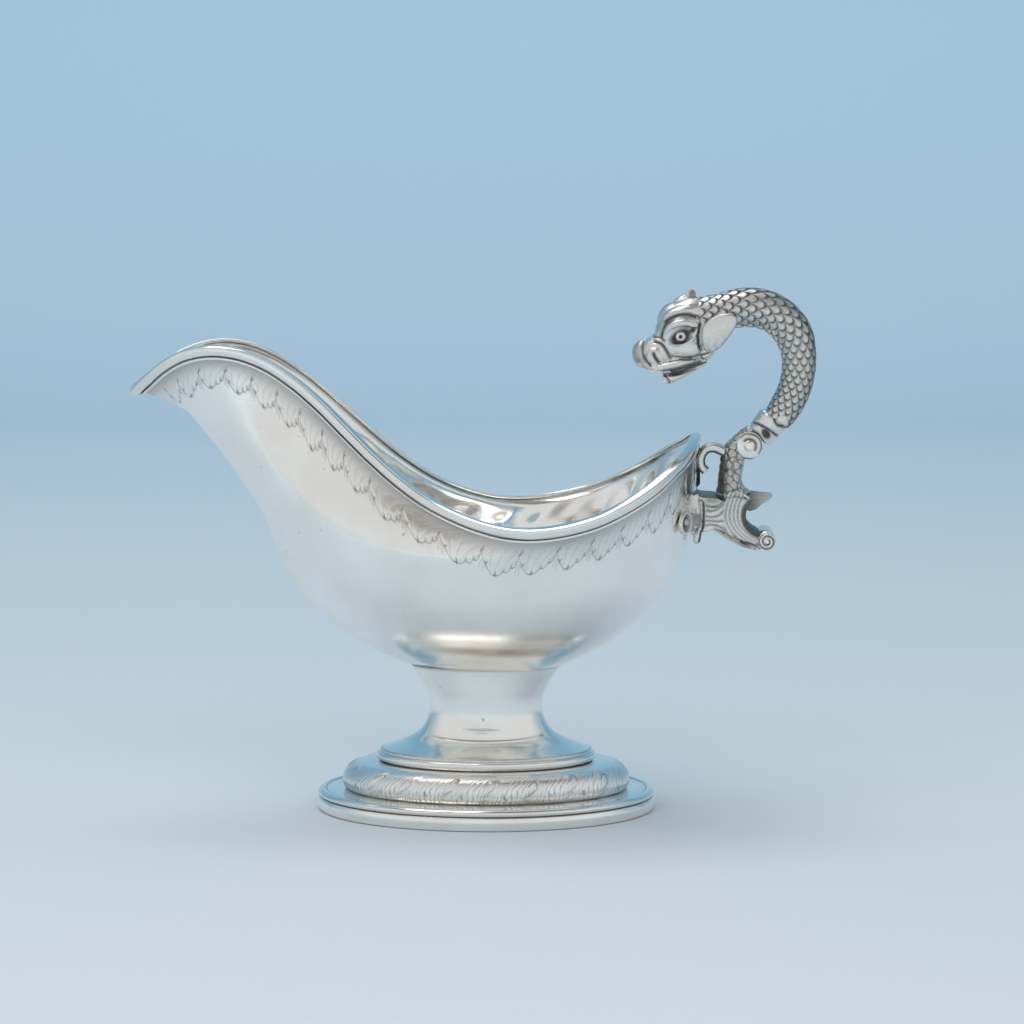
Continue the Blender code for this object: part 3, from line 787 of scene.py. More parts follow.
def round_corners(loop, cut, steps=4):
    """Closed outline with each corner replaced by a short curve."""
    loop = np.asarray(loop, float)
    out = []
    for i, corner in enumerate(loop):
        before = loop[i - 1] - corner
        after = loop[(i + 1) % len(loop)] - corner
        size_before = np.linalg.norm(before)
        size_after = np.linalg.norm(after)
        a = corner + before / size_before * min(cut, 0.45 * size_before)
        b = corner + after / size_after * min(cut, 0.45 * size_after)
        for t in np.linspace(0.0, 1.0, steps):
            out.append(a * (1 - t) ** 2 + 2 * corner * t * (1 - t) + b * t**2)
    return np.array(out)


def oval_grid(profile, across, columns):
    """Grid of a section carried round an oval, from its levels' half widths."""
    turn = circle(columns)
    grid = np.zeros((columns, len(profile), 3))
    grid[..., 0] = np.cos(turn)[:, None] * profile[None, :, 0]
    grid[..., 1] = np.sin(turn)[:, None] * across[None, :]
    grid[..., 2] = profile[None, :, 1]
    return grid


def add_oval(name, grid, dark, material, node):
    """An oval ring of the foot as a piece."""
    faces = grid_faces(grid.shape[0], grid.shape[1], True, True)
    add_shape(name, grid.reshape(-1, 3), faces, dark, material, node)


def edge_dark(profile, marks):
    """Painted shade on a section's points: marks are half length, height, reach and strength."""
    dark = np.zeros(len(profile))
    for half_length, height, reach, strength in marks:
        gap = np.hypot(profile[:, 0] - half_length, profile[:, 1] - height)
        dark = np.maximum(dark, strength * bell(gap / reach))
    return np.tile(dark, (FOOT_COLUMNS, 1))


# Shallow knock low on the stem and the rise beside it: x, z, half length, half height, depth.
KNOCKS = [(-1.2, 31.2, 5.4, 0.7, 0.42), (-2.4, 32.5, 6.4, 0.8, -0.2)]


def build_stem():
    """Trumpet stem, with a shallow knock low on its near side."""
    profile = np.vstack([curve_through(STEM_OUTER, 90), STEM_INNER])
    across = smooth(OVAL_LENGTH, OVAL_WIDTH, profile[:, 0])
    grid = oval_grid(profile, across, FOOT_COLUMNS)
    normal = grid_normals(grid, True)
    dent = np.zeros(grid.shape[:2])
    near = grid[..., 1] < 0
    for x, z, wide, tall, depth in KNOCKS:
        dent += depth * bell((grid[..., 0] - x) / wide) * bell((grid[..., 2] - z) / tall) * near
    outward = np.sign((normal * grid * [1, 1, 0]).sum(axis=2))
    grid -= (outward * dent)[..., None] * normal
    speck = bell(np.hypot(grid[..., 0] + 0.7, grid[..., 2] - 35.6) / 0.45) * near
    # Painted shade along the crease of the knock.
    line = bell((grid[..., 0] + 1.2) / 4.8) * bell((grid[..., 2] - 31.7) / 0.32) * near
    # Painted shade where the stem meets the bowl and the flange.
    dark = edge_dark(profile, [(28.0, 54.4, 0.7, 0.6), (39.4, 22.6, 0.7, 0.5)])
    dark = np.maximum(dark, np.maximum(speck, 0.6 * line))
    add_oval("stem", grid, dark, POLISHED, "stem_spool")


MOTIFS = 18
TORUS_COLUMNS = 1600
TORUS_ROWS = 56
TORUS_TOP = 18.0
TORUS_HEIGHT = 10.4
TORUS_RUN = 15.0
# Rows of the torus: one whose normals must point outwards, and one that its strokes are spaced on.
OUTWARD_ROW = 25
STROKE_ROW = 37

# Hook cut at the edge of each leaf on the foot: share of the pitch, share of the way down.
FOOT_HOOKS = [
    [(0.74, 0.30), (0.78, 0.20), (0.86, 0.16), (0.93, 0.22), (0.95, 0.32)],
    [(0.99, 0.36), (0.96, 0.48), (0.90, 0.60), (0.82, 0.70)],
    [(0.30, 0.60), (0.36, 0.72), (0.45, 0.76)],
]


def foot_relief(arc, total, v):
    """Fine leaning strokes and hooked leaf edges round the foot; v runs 0 to 1 down the torus."""
    pitch = total / MOTIFS
    side = arc / pitch + 0.5 * v
    motif = np.floor(side)
    u = side - motif
    fan = arc + 10.0 * v + 1.8 * np.sin(4.5 * v) + 1.0 * np.sin(2 * math.pi * u)
    strokes = np.cos(2 * math.pi * fan / 1.3)
    broken = 0.5 + 0.5 * np.cos(2 * math.pi * (2.3 * v + 0.37 * np.floor(fan / 1.3)))
    swell = 0.4 * u * ramp((1 - u) / 0.2)
    window = ramp(v / 0.12) * ramp((1 - v) / 0.1)
    height = 0.05 * strokes * (0.4 + 0.6 * broken) + swell
    dark = 0.62 * np.clip(-strokes, 0, 1) ** 2.5 * (0.35 + 0.65 * broken)
    sway = 0.08 * np.sin(2.7 * motif)
    lift = 0.06 * np.sin(4.1 * motif)
    for path in FOOT_HOOKS:
        for start, end in zip(path[:-1], path[1:]):
            gap = segment_distance(
                (u - sway) * pitch,
                (v - lift) * TORUS_RUN,
                (start[0] * pitch, start[1] * TORUS_RUN),
                (end[0] * pitch, end[1] * TORUS_RUN),
            )
            hook = bell(gap / 0.32)
            height -= 0.05 * hook
            dark = np.maximum(dark, (0.6 + 0.2 * np.sin(3.3 * motif)) * hook)
    return height * window, dark * window


def build_leaf_band():
    """Torus of the foot, chased all over with leaning leaf strokes."""
    profile = np.vstack([curve_through(LEAF_BAND_OUTER, TORUS_ROWS), LEAF_BAND_INNER])
    base = oval_grid(profile, profile[:, 0] * STEP_SHARE, TORUS_COLUMNS)
    normal = grid_normals(base, True)
    if normal[0, OUTWARD_ROW, 0] < 0:
        normal = -normal
    ring = base[:, STROKE_ROW]
    arc = lengths(np.vstack([ring, ring[:1]]))
    v = np.clip((TORUS_TOP - base[0, :, 2]) / TORUS_HEIGHT, 0.0, 1.0)
    height, dark = foot_relief(arc[:-1, None], arc[-1], v[None, :])
    live = (np.arange(len(profile)) < TORUS_ROWS).astype(float)
    points = base + normal * (height * live)[..., None]
    # Painted shadow line low on the torus, where it sits on the plate.
    dark = np.maximum(dark * live, 0.7 * bell((base[..., 2] - 7.6) / 0.7) * live)
    add_oval("foot_torus", points, dark, CHASED, "foot_leaf_band")


# Plain rings, top to bottom: name, section, corner cut, width share, silver, node, and marks of painted
# shade at their edges and joins.
FOOT_RINGS = [
    (
        "flange", FLANGE, 0.5, STEP_SHARE, EDGE, "foot_flange",
        [(39.8, 21.9, 0.4, 0.25), (39.4, 18.3, 0.9, 0.8)],
    ),
    (
        "plate", PLATE, 0.3, PLATE_SHARE, POLISHED, "foot_plate",
        [(59.9, 7.6, 0.25, 0.5)],
    ),
    (
        "reed", REED, 0.4, EDGE_SHARE, EDGE, "foot_reed",
        [(62.4, 5.35, 0.45, 0.85), (59.8, 7.5, 0.4, 0.7)],
    ),
    (
        "foot_edge", RIM_BAND, 0.4, EDGE_SHARE, POLISHED, "foot_rim_band",
        [(62.2, 5.3, 0.45, 0.85), (62.4, 0.0, 0.5, 0.6)],
    ),
]


def add_ring(name, section, cut, share, material, node, marks):
    """A plain oval ring of the foot."""
    profile = round_corners(section, cut)
    grid = oval_grid(profile, profile[:, 0] * share, FOOT_COLUMNS)
    add_oval(name, grid, edge_dark(profile, marks), material, node)


def build_foot():
    """Stem, flange, chased torus, plate, reeded edge and rim band."""
    build_stem()
    flange, *lower_rings = FOOT_RINGS
    add_ring(*flange)
    build_leaf_band()
    for ring in lower_rings:
        add_ring(*ring)


# --- Cast handle: tools ----------------------------------------------------------------------


def tube_part(path, radii, sides=20):
    """Closed tube along a 3-D path, with rounded ends."""
    path = np.asarray(path, float)
    radii = np.broadcast_to(np.asarray(radii, float), (len(path),))
    both = curve_through(np.column_stack([path, radii]), 8 * len(path))
    line = both[:, :3]
    size = both[:, 3]
    way = headings(line)
    start = line[0] - way[0] * size[0] * np.array([[0.95], [0.7], [0.35]])
    end = line[-1] + way[-1] * size[-1] * np.array([[0.35], [0.7], [0.95]])
    shrink = [0.3, 0.72, 0.94]
    size = np.concatenate([size[0] * np.array(shrink), size, size[-1] * np.array(shrink[::-1])])
    line = np.vstack([start, line, end])
    way = np.vstack([way[:1]] * 3 + [way] + [way[-1:]] * 3)
    side = units(np.cross(way, [0.0, 1.0, 0.0]))
    other = np.cross(way, side)
    turn = circle(sides)
    rings = line[:, None] + size[:, None, None] * (
        side[:, None] * np.cos(turn)[None, :, None] + other[:, None] * np.sin(turn)[None, :, None]
    )
    return ring_part(rings)


def ring_part(rings):
    """Closed solid through rings of equal count."""
    rings = np.asarray(rings, float)
    count, sides = rings.shape[:2]
    faces = grid_faces(count, sides, False, True)
    faces.append(tuple(range(sides)))
    faces.append(tuple(range((count - 1) * sides, count * sides)))
    return rings.reshape(-1, 3), faces


def ball_part(centre, radii, tilt=0.0):
    """Ellipsoid, tilted about the cross axis by so many degrees."""
    rows = 20
    sides = 28
    turn = circle(sides)
    rings = []
    for k in range(1, rows):
        down = math.pi * k / rows
        x = radii[0] * math.sin(down) * np.cos(turn)
        y = radii[1] * math.sin(down) * np.sin(turn)
        z = np.full(sides, radii[2] * math.cos(down))
        rings.append(np.stack([x, y, z], axis=1))
    rings = np.array(rings)
    a = math.radians(tilt)
    x = rings[..., 0] * math.cos(a) - rings[..., 2] * math.sin(a)
    z = rings[..., 0] * math.sin(a) + rings[..., 2] * math.cos(a)
    rings = np.stack([x, rings[..., 1], z], axis=-1) + np.array(centre)
    return ring_part(rings)


def plate_part(outline, half_width, centre_y=0.0):
    """Side outline carried across the handle."""
    outline = np.asarray(outline, float)
    rings = []
    for y in (centre_y - half_width, centre_y + half_width):
        rings.append([(x, y, z) for x, z in outline])
    return ring_part(rings)


def both_sides(maker, centre, *rest):
    """The same part on the near and the far side."""
    x, y, z = centre
    return [maker((x, y, z), *rest), maker((x, -y, z), *rest)]


def mirrored_tube(path, radii):
    """A tube on the near side and its mirror on the far side."""
    flip = [(x, -y, z) for x, y, z in path]
    return [tube_part(path, radii), tube_part(flip, radii)]


def fuse(name, parts, voxel, passes):
    """One skin round overlapping closed parts, softened a little."""
    points = []
    faces = []
    for part_points, part_faces in parts:
        offset = len(points)
        points.extend(part_points)
        faces.extend(tuple(int(v) + offset for v in face) for face in part_faces)
    mesh = closed_mesh(name, points, faces)
    maker = add_object(name + "_maker", mesh)
    remesh = maker.modifiers.new("skin", "REMESH")
    remesh.mode = "VOXEL"
    remesh.voxel_size = voxel * MM
    soften_skin = maker.modifiers.new("soften", "SMOOTH")
    soften_skin.factor = 0.5
    soften_skin.iterations = passes
    graph = bpy.context.evaluated_depsgraph_get()
    done = bpy.data.meshes.new_from_object(maker.evaluated_get(graph))
    bpy.data.objects.remove(maker, do_unlink=True)
    bpy.data.meshes.remove(mesh)
    done.name = name
    done.shade_smooth()
    return done


def mesh_points(mesh):
    """A mesh's points in millimetres about the foot, and its normals."""
    count = len(mesh.vertices)
    points = np.zeros(count * 3)
    normals = np.zeros(count * 3)
    mesh.vertices.foreach_get("co", points)
    mesh.vertices.foreach_get("normal", normals)
    points = points.reshape(-1, 3)
    points[:, 0] -= FOOT_X
    return points / MM, normals.reshape(-1, 3)


def carve(mesh, relief):
    """Moves a mesh's points along their normals by relief(points, normals) and darkens them."""
    points, normals = mesh_points(mesh)
    height, dark = relief(points, normals)
    mesh.vertices.foreach_set("co", world(points + normals * height[:, None]).ravel())
    mesh.update()
    set_dark(mesh, dark)


def line_distance(x, z, path):
    """Distance of points to a polyline in the plane of the handle."""
    best = np.full(x.shape, 1e9)
    for start, end in zip(path[:-1], path[1:]):
        best = np.minimum(best, segment_distance(x, z, start, end))
    return best


def side_relief(points, normals, grooves, bumps):
    """Grooves and swellings drawn on both cheeks of a casting.

    A groove is path, width, depth, darkness; a bump is centre, radii, tilt, height, darkness. The
    darkness is oxide and painted shade in the grooves, painted shade over the hollows."""
    x = points[:, 0]
    z = points[:, 2]
    facing = ramp((np.abs(normals[:, 1]) - 0.12) / 0.3)
    height = np.zeros(len(points))
    dark = np.zeros(len(points))
    for path, width, depth, strength in grooves:
        fine = curve_through(path, 6 * len(path)) if len(path) > 2 else path
        stroke = bell(line_distance(x, z, fine) / width) * facing
        height -= depth * stroke
        # Oxide and painted shade in the grooves.
        dark = np.maximum(dark, strength * stroke)
    for centre, radii, tilt, rise, strength in bumps:
        a = math.radians(tilt)
        dx = x - centre[0]
        dz = z - centre[1]
        along = (dx * math.cos(a) + dz * math.sin(a)) / radii[0]
        over = (dz * math.cos(a) - dx * math.sin(a)) / radii[1]
        hill = ramp(1.25 - np.hypot(along, over))
        height += rise * hill * facing
        # Painted shade over the hollows, such as the eye sockets.
        dark = np.maximum(dark, strength * hill * ramp(np.abs(normals[:, 1]) / 0.1))
    return height, dark


def groove_relief(grooves, bumps=()):
    """A relief of grooves and swellings alone."""
    return lambda points, normals: side_relief(points, normals, grooves, bumps)


def add_casting(name, parts, voxel, passes, relief, node):
    """A cast piece: one skin round its parts, carved by a relief."""
    mesh = fuse(name, parts, voxel, passes)
    carve(mesh, relief)
    finish_piece(name, mesh, CAST, node)


def add_rings(name, rings, dark, node, material=CAST):
    """A cast piece through rings of points."""
    points, faces = ring_part(rings)
    add_shape(name, points, faces, dark, material, node)


# --- Serpent ---------------------------------------------------------------------------------

# Centre line: x, z, radius in the plane of the loop.
SERPENT = [
    (77.6, 184.0, 6.7),
    (81.0, 184.9, 6.9),
    (85.1, 185.6, 6.9),
    (92.3, 187.2, 7.2),
    (97.9, 187.6, 7.35),
    (105.8, 185.5, 7.3),
    (113.1, 178.2, 7.15),
    (115.4, 169.3, 6.4),
    (115.0, 162.3, 6.2),
    (113.4, 156.5, 6.1),
    (110.8, 151.3, 6.0),
    (107.3, 146.2, 5.4),
]
SERPENT_ACROSS = 0.93
SCALES_ROUND = 12
SCALE_STEP = 0.72


def scale_edge(j, place):
    """Lower edge of row j of the scales, and how far each point is from its scale's middle."""
    apart = place - 0.5 * np.mod(j, 2)
    apart = apart - np.round(apart)
    return j + 1.05 + 1.25 * np.sqrt(np.clip(1 - (2 * apart) ** 2, 0.0, 1.0)), apart


def scale_relief(row, place):
    """Height and darkness of overlapping scales; row counts down the body, place round it."""
    below = np.full(row.shape, np.nan)
    spot = np.zeros(row.shape)
    shape = np.zeros(row.shape)
    for back in (2, 1, 0):
        j = np.floor(row) - back
        edge, apart = scale_edge(j, place)
        cover = np.isnan(below) & (row < edge)
        below = np.where(cover, edge - row, below)
        spot = np.where(cover, apart, spot)
        shape = np.where(cover, j, shape)
    below = np.nan_to_num(below, nan=0.0)
    lip = ramp(below / 0.16)
    height = 0.5 * lip * (1 - 0.42 * below) * (1 - 0.9 * spot**2)
    dark = 0.95 * bell(below / 0.15)
    # Painted shade below each lip, where the next scale comes out from under it.
    for step in (1, 2):
        edge, _ = scale_edge(shape - step, place)
        dark = np.maximum(dark, bell(np.clip(row - edge, 0, 9) / 0.36))
        dark = np.maximum(dark, 0.5 * bell(np.clip(row - edge, 0, 9) / 0.8))
    return height, dark


def build_serpent():
    """Serpent body, scaled from the back of its head to the collar."""
    line = curve_through(SERPENT, 300)
    centre = line[:, :2]
    radius = line[:, 2]
    run = lengths(centre)
    way = headings(centre)
    sides = 16 * SCALES_ROUND
    turn = circle(sides)
    out = np.stack([-way[:, 1], way[:, 0]], axis=1)
    cos = np.cos(turn)[None, :]
    sin = np.sin(turn)[None, :]
    grid = np.zeros((len(line), sides, 3))
    grid[..., 0] = centre[:, 0, None] + out[:, 0, None] * radius[:, None] * cos
    grid[..., 2] = centre[:, 1, None] + out[:, 1, None] * radius[:, None] * cos
    grid[..., 1] = radius[:, None] * SERPENT_ACROSS * sin
    normal = np.zeros_like(grid)
    normal[..., 0] = out[:, 0, None] * cos
    normal[..., 2] = out[:, 1, None] * cos
    normal[..., 1] = sin
    pitch = 2 * math.pi * radius / SCALES_ROUND * SCALE_STEP
    row = np.concatenate([[0.0], np.cumsum(np.diff(run) / pitch[1:])])
    place = turn * SCALES_ROUND / (2 * math.pi)
    height, dark = scale_relief(row[:, None] + 0 * sin, place[None, :] + 0 * row[:, None])
    belly = ramp((-cos - 0.72) / 0.2)
    height = height * (1 - 0.7 * belly) - 0.25
    # Painted shade along the serpent's upper, outer side.
    back = ramp((cos - 0.45) / 0.45) * (1 - bell((centre[:, 0, None] - 84.0) / 9.0))
    dark = np.clip(dark + 0.34 * back, 0, 1)
    add_rings("scaled_serpent", grid + normal * height[..., None], dark, "serpent_body")


# Head, back to snout: x, top, bottom, half width.
HEAD = [
    (82.6, 187.0, 171.4, 4.6),
    (80.6, 190.8, 169.6, 6.2),
    (78.0, 191.8, 168.2, 7.0),
    (75.0, 191.8, 167.0, 7.5),
    (71.5, 190.6, 166.2, 7.6),
    (68.0, 188.8, 165.7, 7.2),
    (65.4, 186.4, 165.2, 6.4),
    (63.6, 181.6, 164.8, 5.6),
    (61.8, 177.9, 164.6, 5.4),
    (59.4, 176.0, 165.0, 5.0),
    (57.6, 174.6, 166.4, 4.0),
]
HEAD_GROOVES = [
    (
        [(64.2, 177.2), (64.9, 180.4), (66.6, 183.0), (69.8, 184.9), (73.6, 185.5), (78.2, 184.6)],
        0.7, 0.85, 1.0,
    ),
    ([(64.6, 179.6), (66.2, 182.6), (69.6, 184.6), (74.0, 185.0)], 1.3, 0.2, 0.45),
    ([(79.4, 183.6), (78.8, 180.4), (78.4, 177.5), (78.7, 174.5), (79.3, 172.2)], 0.48, 0.6, 1.0),
    ([(59.0, 176.6), (58.0, 174.4), (57.9, 171.0), (58.7, 168.4), (60.4, 166.6)], 0.5, 0.6, 0.9),
    ([(62.2, 175.4), (64.6, 174.4), (66.4, 172.0), (67.9, 169.2)], 0.5, 0.7, 0.95),
    ([(61.7, 171.2), (62.6, 169.3), (63.8, 167.8)], 0.62, 0.9, 1.0),
    ([(68.4, 170.0), (71.5, 169.6), (75.1, 169.0), (78.8, 169.9)], 0.42, 0.4, 0.7),
    ([(74.4, 169.4), (78.0, 170.0), (82.4, 171.4)], 0.4, 0.35, 0.9),
    ([(66.0, 164.0), (70.0, 164.9), (74.4, 166.2), (79.0, 167.6)], 1.1, 0.1, 1.0),
    ([(61.4, 177.2), (63.2, 177.0), (65.6, 175.8)], 0.5, 0.4, 0.8),
]
# Eye socket and the hollows beside it, each filled with painted shade.
HEAD_BUMPS = [
    ((71.7, 177.3), (4.9, 2.9), 30.0, -1.4, 1.7),
    ((76.0, 179.6), (1.9, 1.1), 35.0, -0.3, 1.3),
    ((69.2, 175.4), (1.6, 1.4), 40.0, -0.3, 0.9),
]
# Rounded masses of the head: centre, radii and tilt; the second list is on both cheeks.
HEAD_MASSES = [
    ((58.7, 0.0, 170.6), (4.7, 4.8, 5.4), 6.0),
    ((70.4, 0.0, 183.0), (7.3, 6.2, 6.9), 10.0),
    ((67.0, 0.0, 179.2), (4.6, 5.0, 4.6), 20.0),
    ((81.0, 0.0, 171.2), (3.4, 4.6, 3.2), 0.0),
]
CHEEK_MASSES = [
    ((62.6, 4.1, 169.7), (3.9, 2.7, 4.2), -30.0),
    ((74.2, 5.4, 172.9), (5.6, 2.6, 3.4), 8.0),
    ((71.4, 4.6, 184.9), (6.8, 2.9, 3.6), 18.0),
]
PALATE = [
    (66.4, 164.6), (72.0, 167.6), (80.0, 170.0), (82.0, 168.2), (78.0, 166.6), (70.0, 163.8),
]
# Upper lid, lower lid and lip: path and radii.
LIDS_AND_LIP = [
    (
        [
            (65.2, -5.4, 176.0),
            (66.4, -6.2, 179.4),
            (69.0, -6.8, 181.7),
            (72.8, -7.1, 182.5),
            (77.2, -6.9, 181.6),
        ],
        [0.8, 1.35, 1.6, 1.6, 1.2],
    ),
    (
        [(67.0, -5.8, 175.6), (70.0, -6.9, 174.6), (73.6, -7.1, 174.9), (76.8, -7.0, 177.2)],
        [0.7, 1.0, 1.0, 0.8],
    ),
    (
        [
            (58.8, -3.0, 166.5),
            (62.4, -4.7, 165.6),
            (67.0, -5.4, 166.3),
            (72.0, -5.6, 167.4),
            (76.0, -5.4, 168.6),
        ],
        [1.2, 1.6, 1.7, 1.5, 1.0],
    ),
]


def head_rings(table, sides, square):
    """Upright sections along the head, squared a little at their corners."""
    turn = circle(sides)
    cos = squared(np.cos(turn), square)
    sin = squared(np.sin(turn), square)
    rings = []
    for x, top, bottom, half in curve_through(table, 6 * len(table)):
        z = 0.5 * (top + bottom) + 0.5 * (top - bottom) * cos
        rings.append(np.stack([np.full(sides, x), half * sin, z], axis=1))
    return rings


def head_relief(points, normals):
    """Grooves and hollows of the head, with painted shade over the crown and the snout."""
    height, dark = side_relief(points, normals, HEAD_GROOVES, HEAD_BUMPS)
    # Painted shade on the crown's upward faces and at the tip of the snout.
    crown = 0.5 * ramp((normals[:, 2] - 0.55) / 0.35) * ramp((points[:, 2] - 182.0) / 3.0)
    snout = 0.3 * ramp((60.8 - points[:, 0]) / 3.0)
    return height, np.maximum(dark, np.maximum(crown, snout))


def build_head():
    """Head of a mythical sea beast: brow, lids, round snout with nostrils, and lips."""
    parts = [ring_part(head_rings(HEAD, 28, 0.86))]
    for centre, radii, tilt in HEAD_MASSES:
        parts.append(ball_part(centre, radii, tilt))
    for centre, radii, tilt in CHEEK_MASSES:
        parts += both_sides(ball_part, centre, radii, tilt)
    crown = [(69.4, 0.0, 188.2), (71.8, 0.0, 190.1), (74.0, 0.0, 191.4)]
    parts.append(tube_part(crown, [1.4, 1.7, 1.6]))
    parts.append(plate_part(PALATE, 2.6))
    for path, radii in LIDS_AND_LIP:
        parts += mirrored_tube(path, radii)
    add_casting("beast_head", parts, 0.3, 3, head_relief, "serpent_head")
    build_eyes()
    build_jaw()
    build_crest()
    build_fins()


def build_eyes():
    """Round eyes with drilled pupils, set in their sockets."""
    for name, side in (("eye_left", -1.0), ("eye_right", 1.0)):
        centre = np.array((71.8, side * 5.9, 177.4))

        def pupil(points, normals):
            gap = np.hypot(points[:, 0] - centre[0] + 0.1, points[:, 2] - centre[2] + 0.1)
            # Painted shade in the drilled pupil, and in a ring round the eyeball's edge under the lids.
            hole = ramp((0.85 - gap) / 0.3) * (np.abs(normals[:, 1]) > 0.3)
            ring = bell((gap - 2.1) / 0.3)
            return -0.7 * hole, np.maximum(hole, 0.6 * ring)

        ball = ball_part(centre, (2.3, 1.6, 2.3))
        add_casting(name, [ball], 0.16, 1, pupil, "serpent_head")


JAW = [
    (81.6, 168.0, 166.6, 3.0),
    (78.0, 166.8, 164.6, 4.2),
    (74.0, 165.5, 162.2, 4.7),
    (70.0, 164.3, 160.0, 4.9),
    (67.0, 163.7, 159.4, 4.8),
    (65.2, 163.5, 160.2, 3.8),
]
JAW_GROOVES = [
    ([(66.4, 163.6), (66.8, 162.0), (68.0, 160.2)], 0.45, 0.4, 0.8),
    ([(69.0, 163.2), (73.0, 164.0), (77.0, 165.2)], 0.6, 0.25, 0.8),
]


def build_jaw():
    """Lower jaw, a little open."""
    parts = [ring_part(head_rings(JAW, 20, 0.85))]
    add_casting("jaw_plate", parts, 0.3, 3, groove_relief(JAW_GROOVES), "lower_jaw")


CREST = [
    (68.8, 187.6), (70.8, 189.9), (72.8, 191.8), (74.8, 193.9), (76.3, 195.3), (77.3, 194.6),
    (78.4, 192.4), (79.4, 189.6), (74.0, 187.4),
]


def build_crest():
    """Small pointed crest with a hollow on each side."""
    parts = [plate_part(round_corners(CREST, 0.8), 1.6)]
    parts.append(ball_part((74.6, 0.0, 188.9), (5.4, 4.2, 2.6), 8.0))
    # Hollow on each side, filled with painted shade.
    hollow = [((76.2, 192.4), (1.5, 2.0), 10.0, -0.7, 0.7)]
    grooves = [([(74.4, 190.4), (76.4, 189.9), (78.6, 190.3)], 0.35, 0.3, 0.95)]
    for k in range(3):
        notch = [(74.0 + 0.9 * k, 192.4 + 0.9 * k), (75.2 + 0.7 * k, 191.4 + 0.7 * k)]
        grooves.append((notch, 0.16, 0.12, 0.5))
    add_casting("crest_ear", parts, 0.22, 3, groove_relief(grooves, hollow), "crest_fin")


FIN = [
    (79.2, 176.2), (79.4, 181.0), (81.8, 183.9), (86.0, 185.9), (90.2, 186.1), (92.3, 184.4),
    (92.2, 182.0), (90.0, 178.4), (86.8, 174.0), (83.4, 171.6), (80.4, 172.2),
]


FIN_LAYERS = 25
FIN_SIDES = (("fin_left", -1.0, "cheek_fin_left"), ("fin_right", 1.0, "cheek_fin_right"))


def build_fins():
    """Smooth domed fin on each cheek, standing off the neck at its back."""
    outline = round_corners(FIN, 1.4, 5)
    outline = curve_through(np.vstack([outline, outline[:1]]), 121)[:-1]
    middle = outline.mean(axis=0)
    for name, side, node in FIN_SIDES:
        rings = []
        for k in range(1, FIN_LAYERS):
            angle = math.pi * k / FIN_LAYERS
            share = math.sin(angle) ** 0.6
            ring = middle + (outline - middle) * share
            depth = 1.25 if angle < 0.5 * math.pi else 3.6
            lift = depth * math.cos(angle) + 9.0 + 0.06 * (ring[:, 0] - 79.0)
            rings.append(np.stack([ring[:, 0], side * lift, ring[:, 1]], axis=1))
        x, _, z = np.reshape(rings, (-1, 3)).T
        edge = line_distance(x, z, outline)
        # Painted shade on the fin's edge and over its lower part, broken by a mottled texture.
        low = ramp((180.0 - z + 0.4 * (x - 84.0)) / 9.0)
        mottle = 0.5 + 0.5 * np.sin(2.1 * x + 1.3 * np.sin(1.7 * z))
        dark = np.maximum(0.5 * bell(edge / 0.4), 0.06 + 0.4 * low * mottle)
        add_rings(name, rings, dark, node)


# --- Collar, neck and scrolls ----------------------------------------------------------------

COLLAR_TOP = (106.9, 147.2)
COLLAR_END = (100.9, 139.5)
COLLAR = [(0.0, 4.8), (0.4, 5.7), (1.4, 6.1), (2.8, 6.0), (4.6, 5.9), (7.2, 5.6), (8.6, 5.2), (9.8, 4.6)]


def build_collar():
    """Ferrule: two bands with a groove between them, a window and a round boss on each side."""
    axis = np.array([COLLAR_END[0] - COLLAR_TOP[0], COLLAR_END[1] - COLLAR_TOP[1]])
    axis /= np.linalg.norm(axis)
    out = np.array([axis[1], -axis[0]])
    turn = circle(40)
    rings = []
    for at, radius in curve_through(COLLAR, 50):
        middle = np.array(COLLAR_TOP) + axis * at
        x = middle[0] + out[0] * radius * np.cos(turn)
        z = middle[1] + out[1] * radius * np.cos(turn)
        rings.append(np.stack([x, 0.95 * radius * np.sin(turn), z], axis=1))
    parts = [ring_part(rings)]
    parts += both_sides(ball_part, (109.2, 3.9, 146.6), (2.6, 1.9, 2.6), 0.0)
    grooves = [
        ([(97.0, 145.9), (100.6, 144.9), (103.8, 143.2), (107.6, 140.6)], 0.55, 0.5, 1.0),
        ([(106.9, 148.6), (106.6, 146.6), (107.7, 144.7), (109.8, 144.0)], 0.6, 0.5, 1.0),
        ([(94.0, 140.4), (96.7, 141.9), (99.7, 141.4), (101.8, 138.9), (102.3, 135.8)], 0.65, 0.5, 1.0),
    ]
    # Window sunk into each side, filled with painted shade.
    window = [((103.4, 141.3), (1.6, 2.5), 35.0, -1.1, 1.8)]
    add_casting("collar_ferrule", parts, 0.28, 2, groove_relief(grooves, window), "handle_collar")


VOLUTE_SIDES = 120
VOLUTE_ROWS = 26
OPEN_AT = 0.64


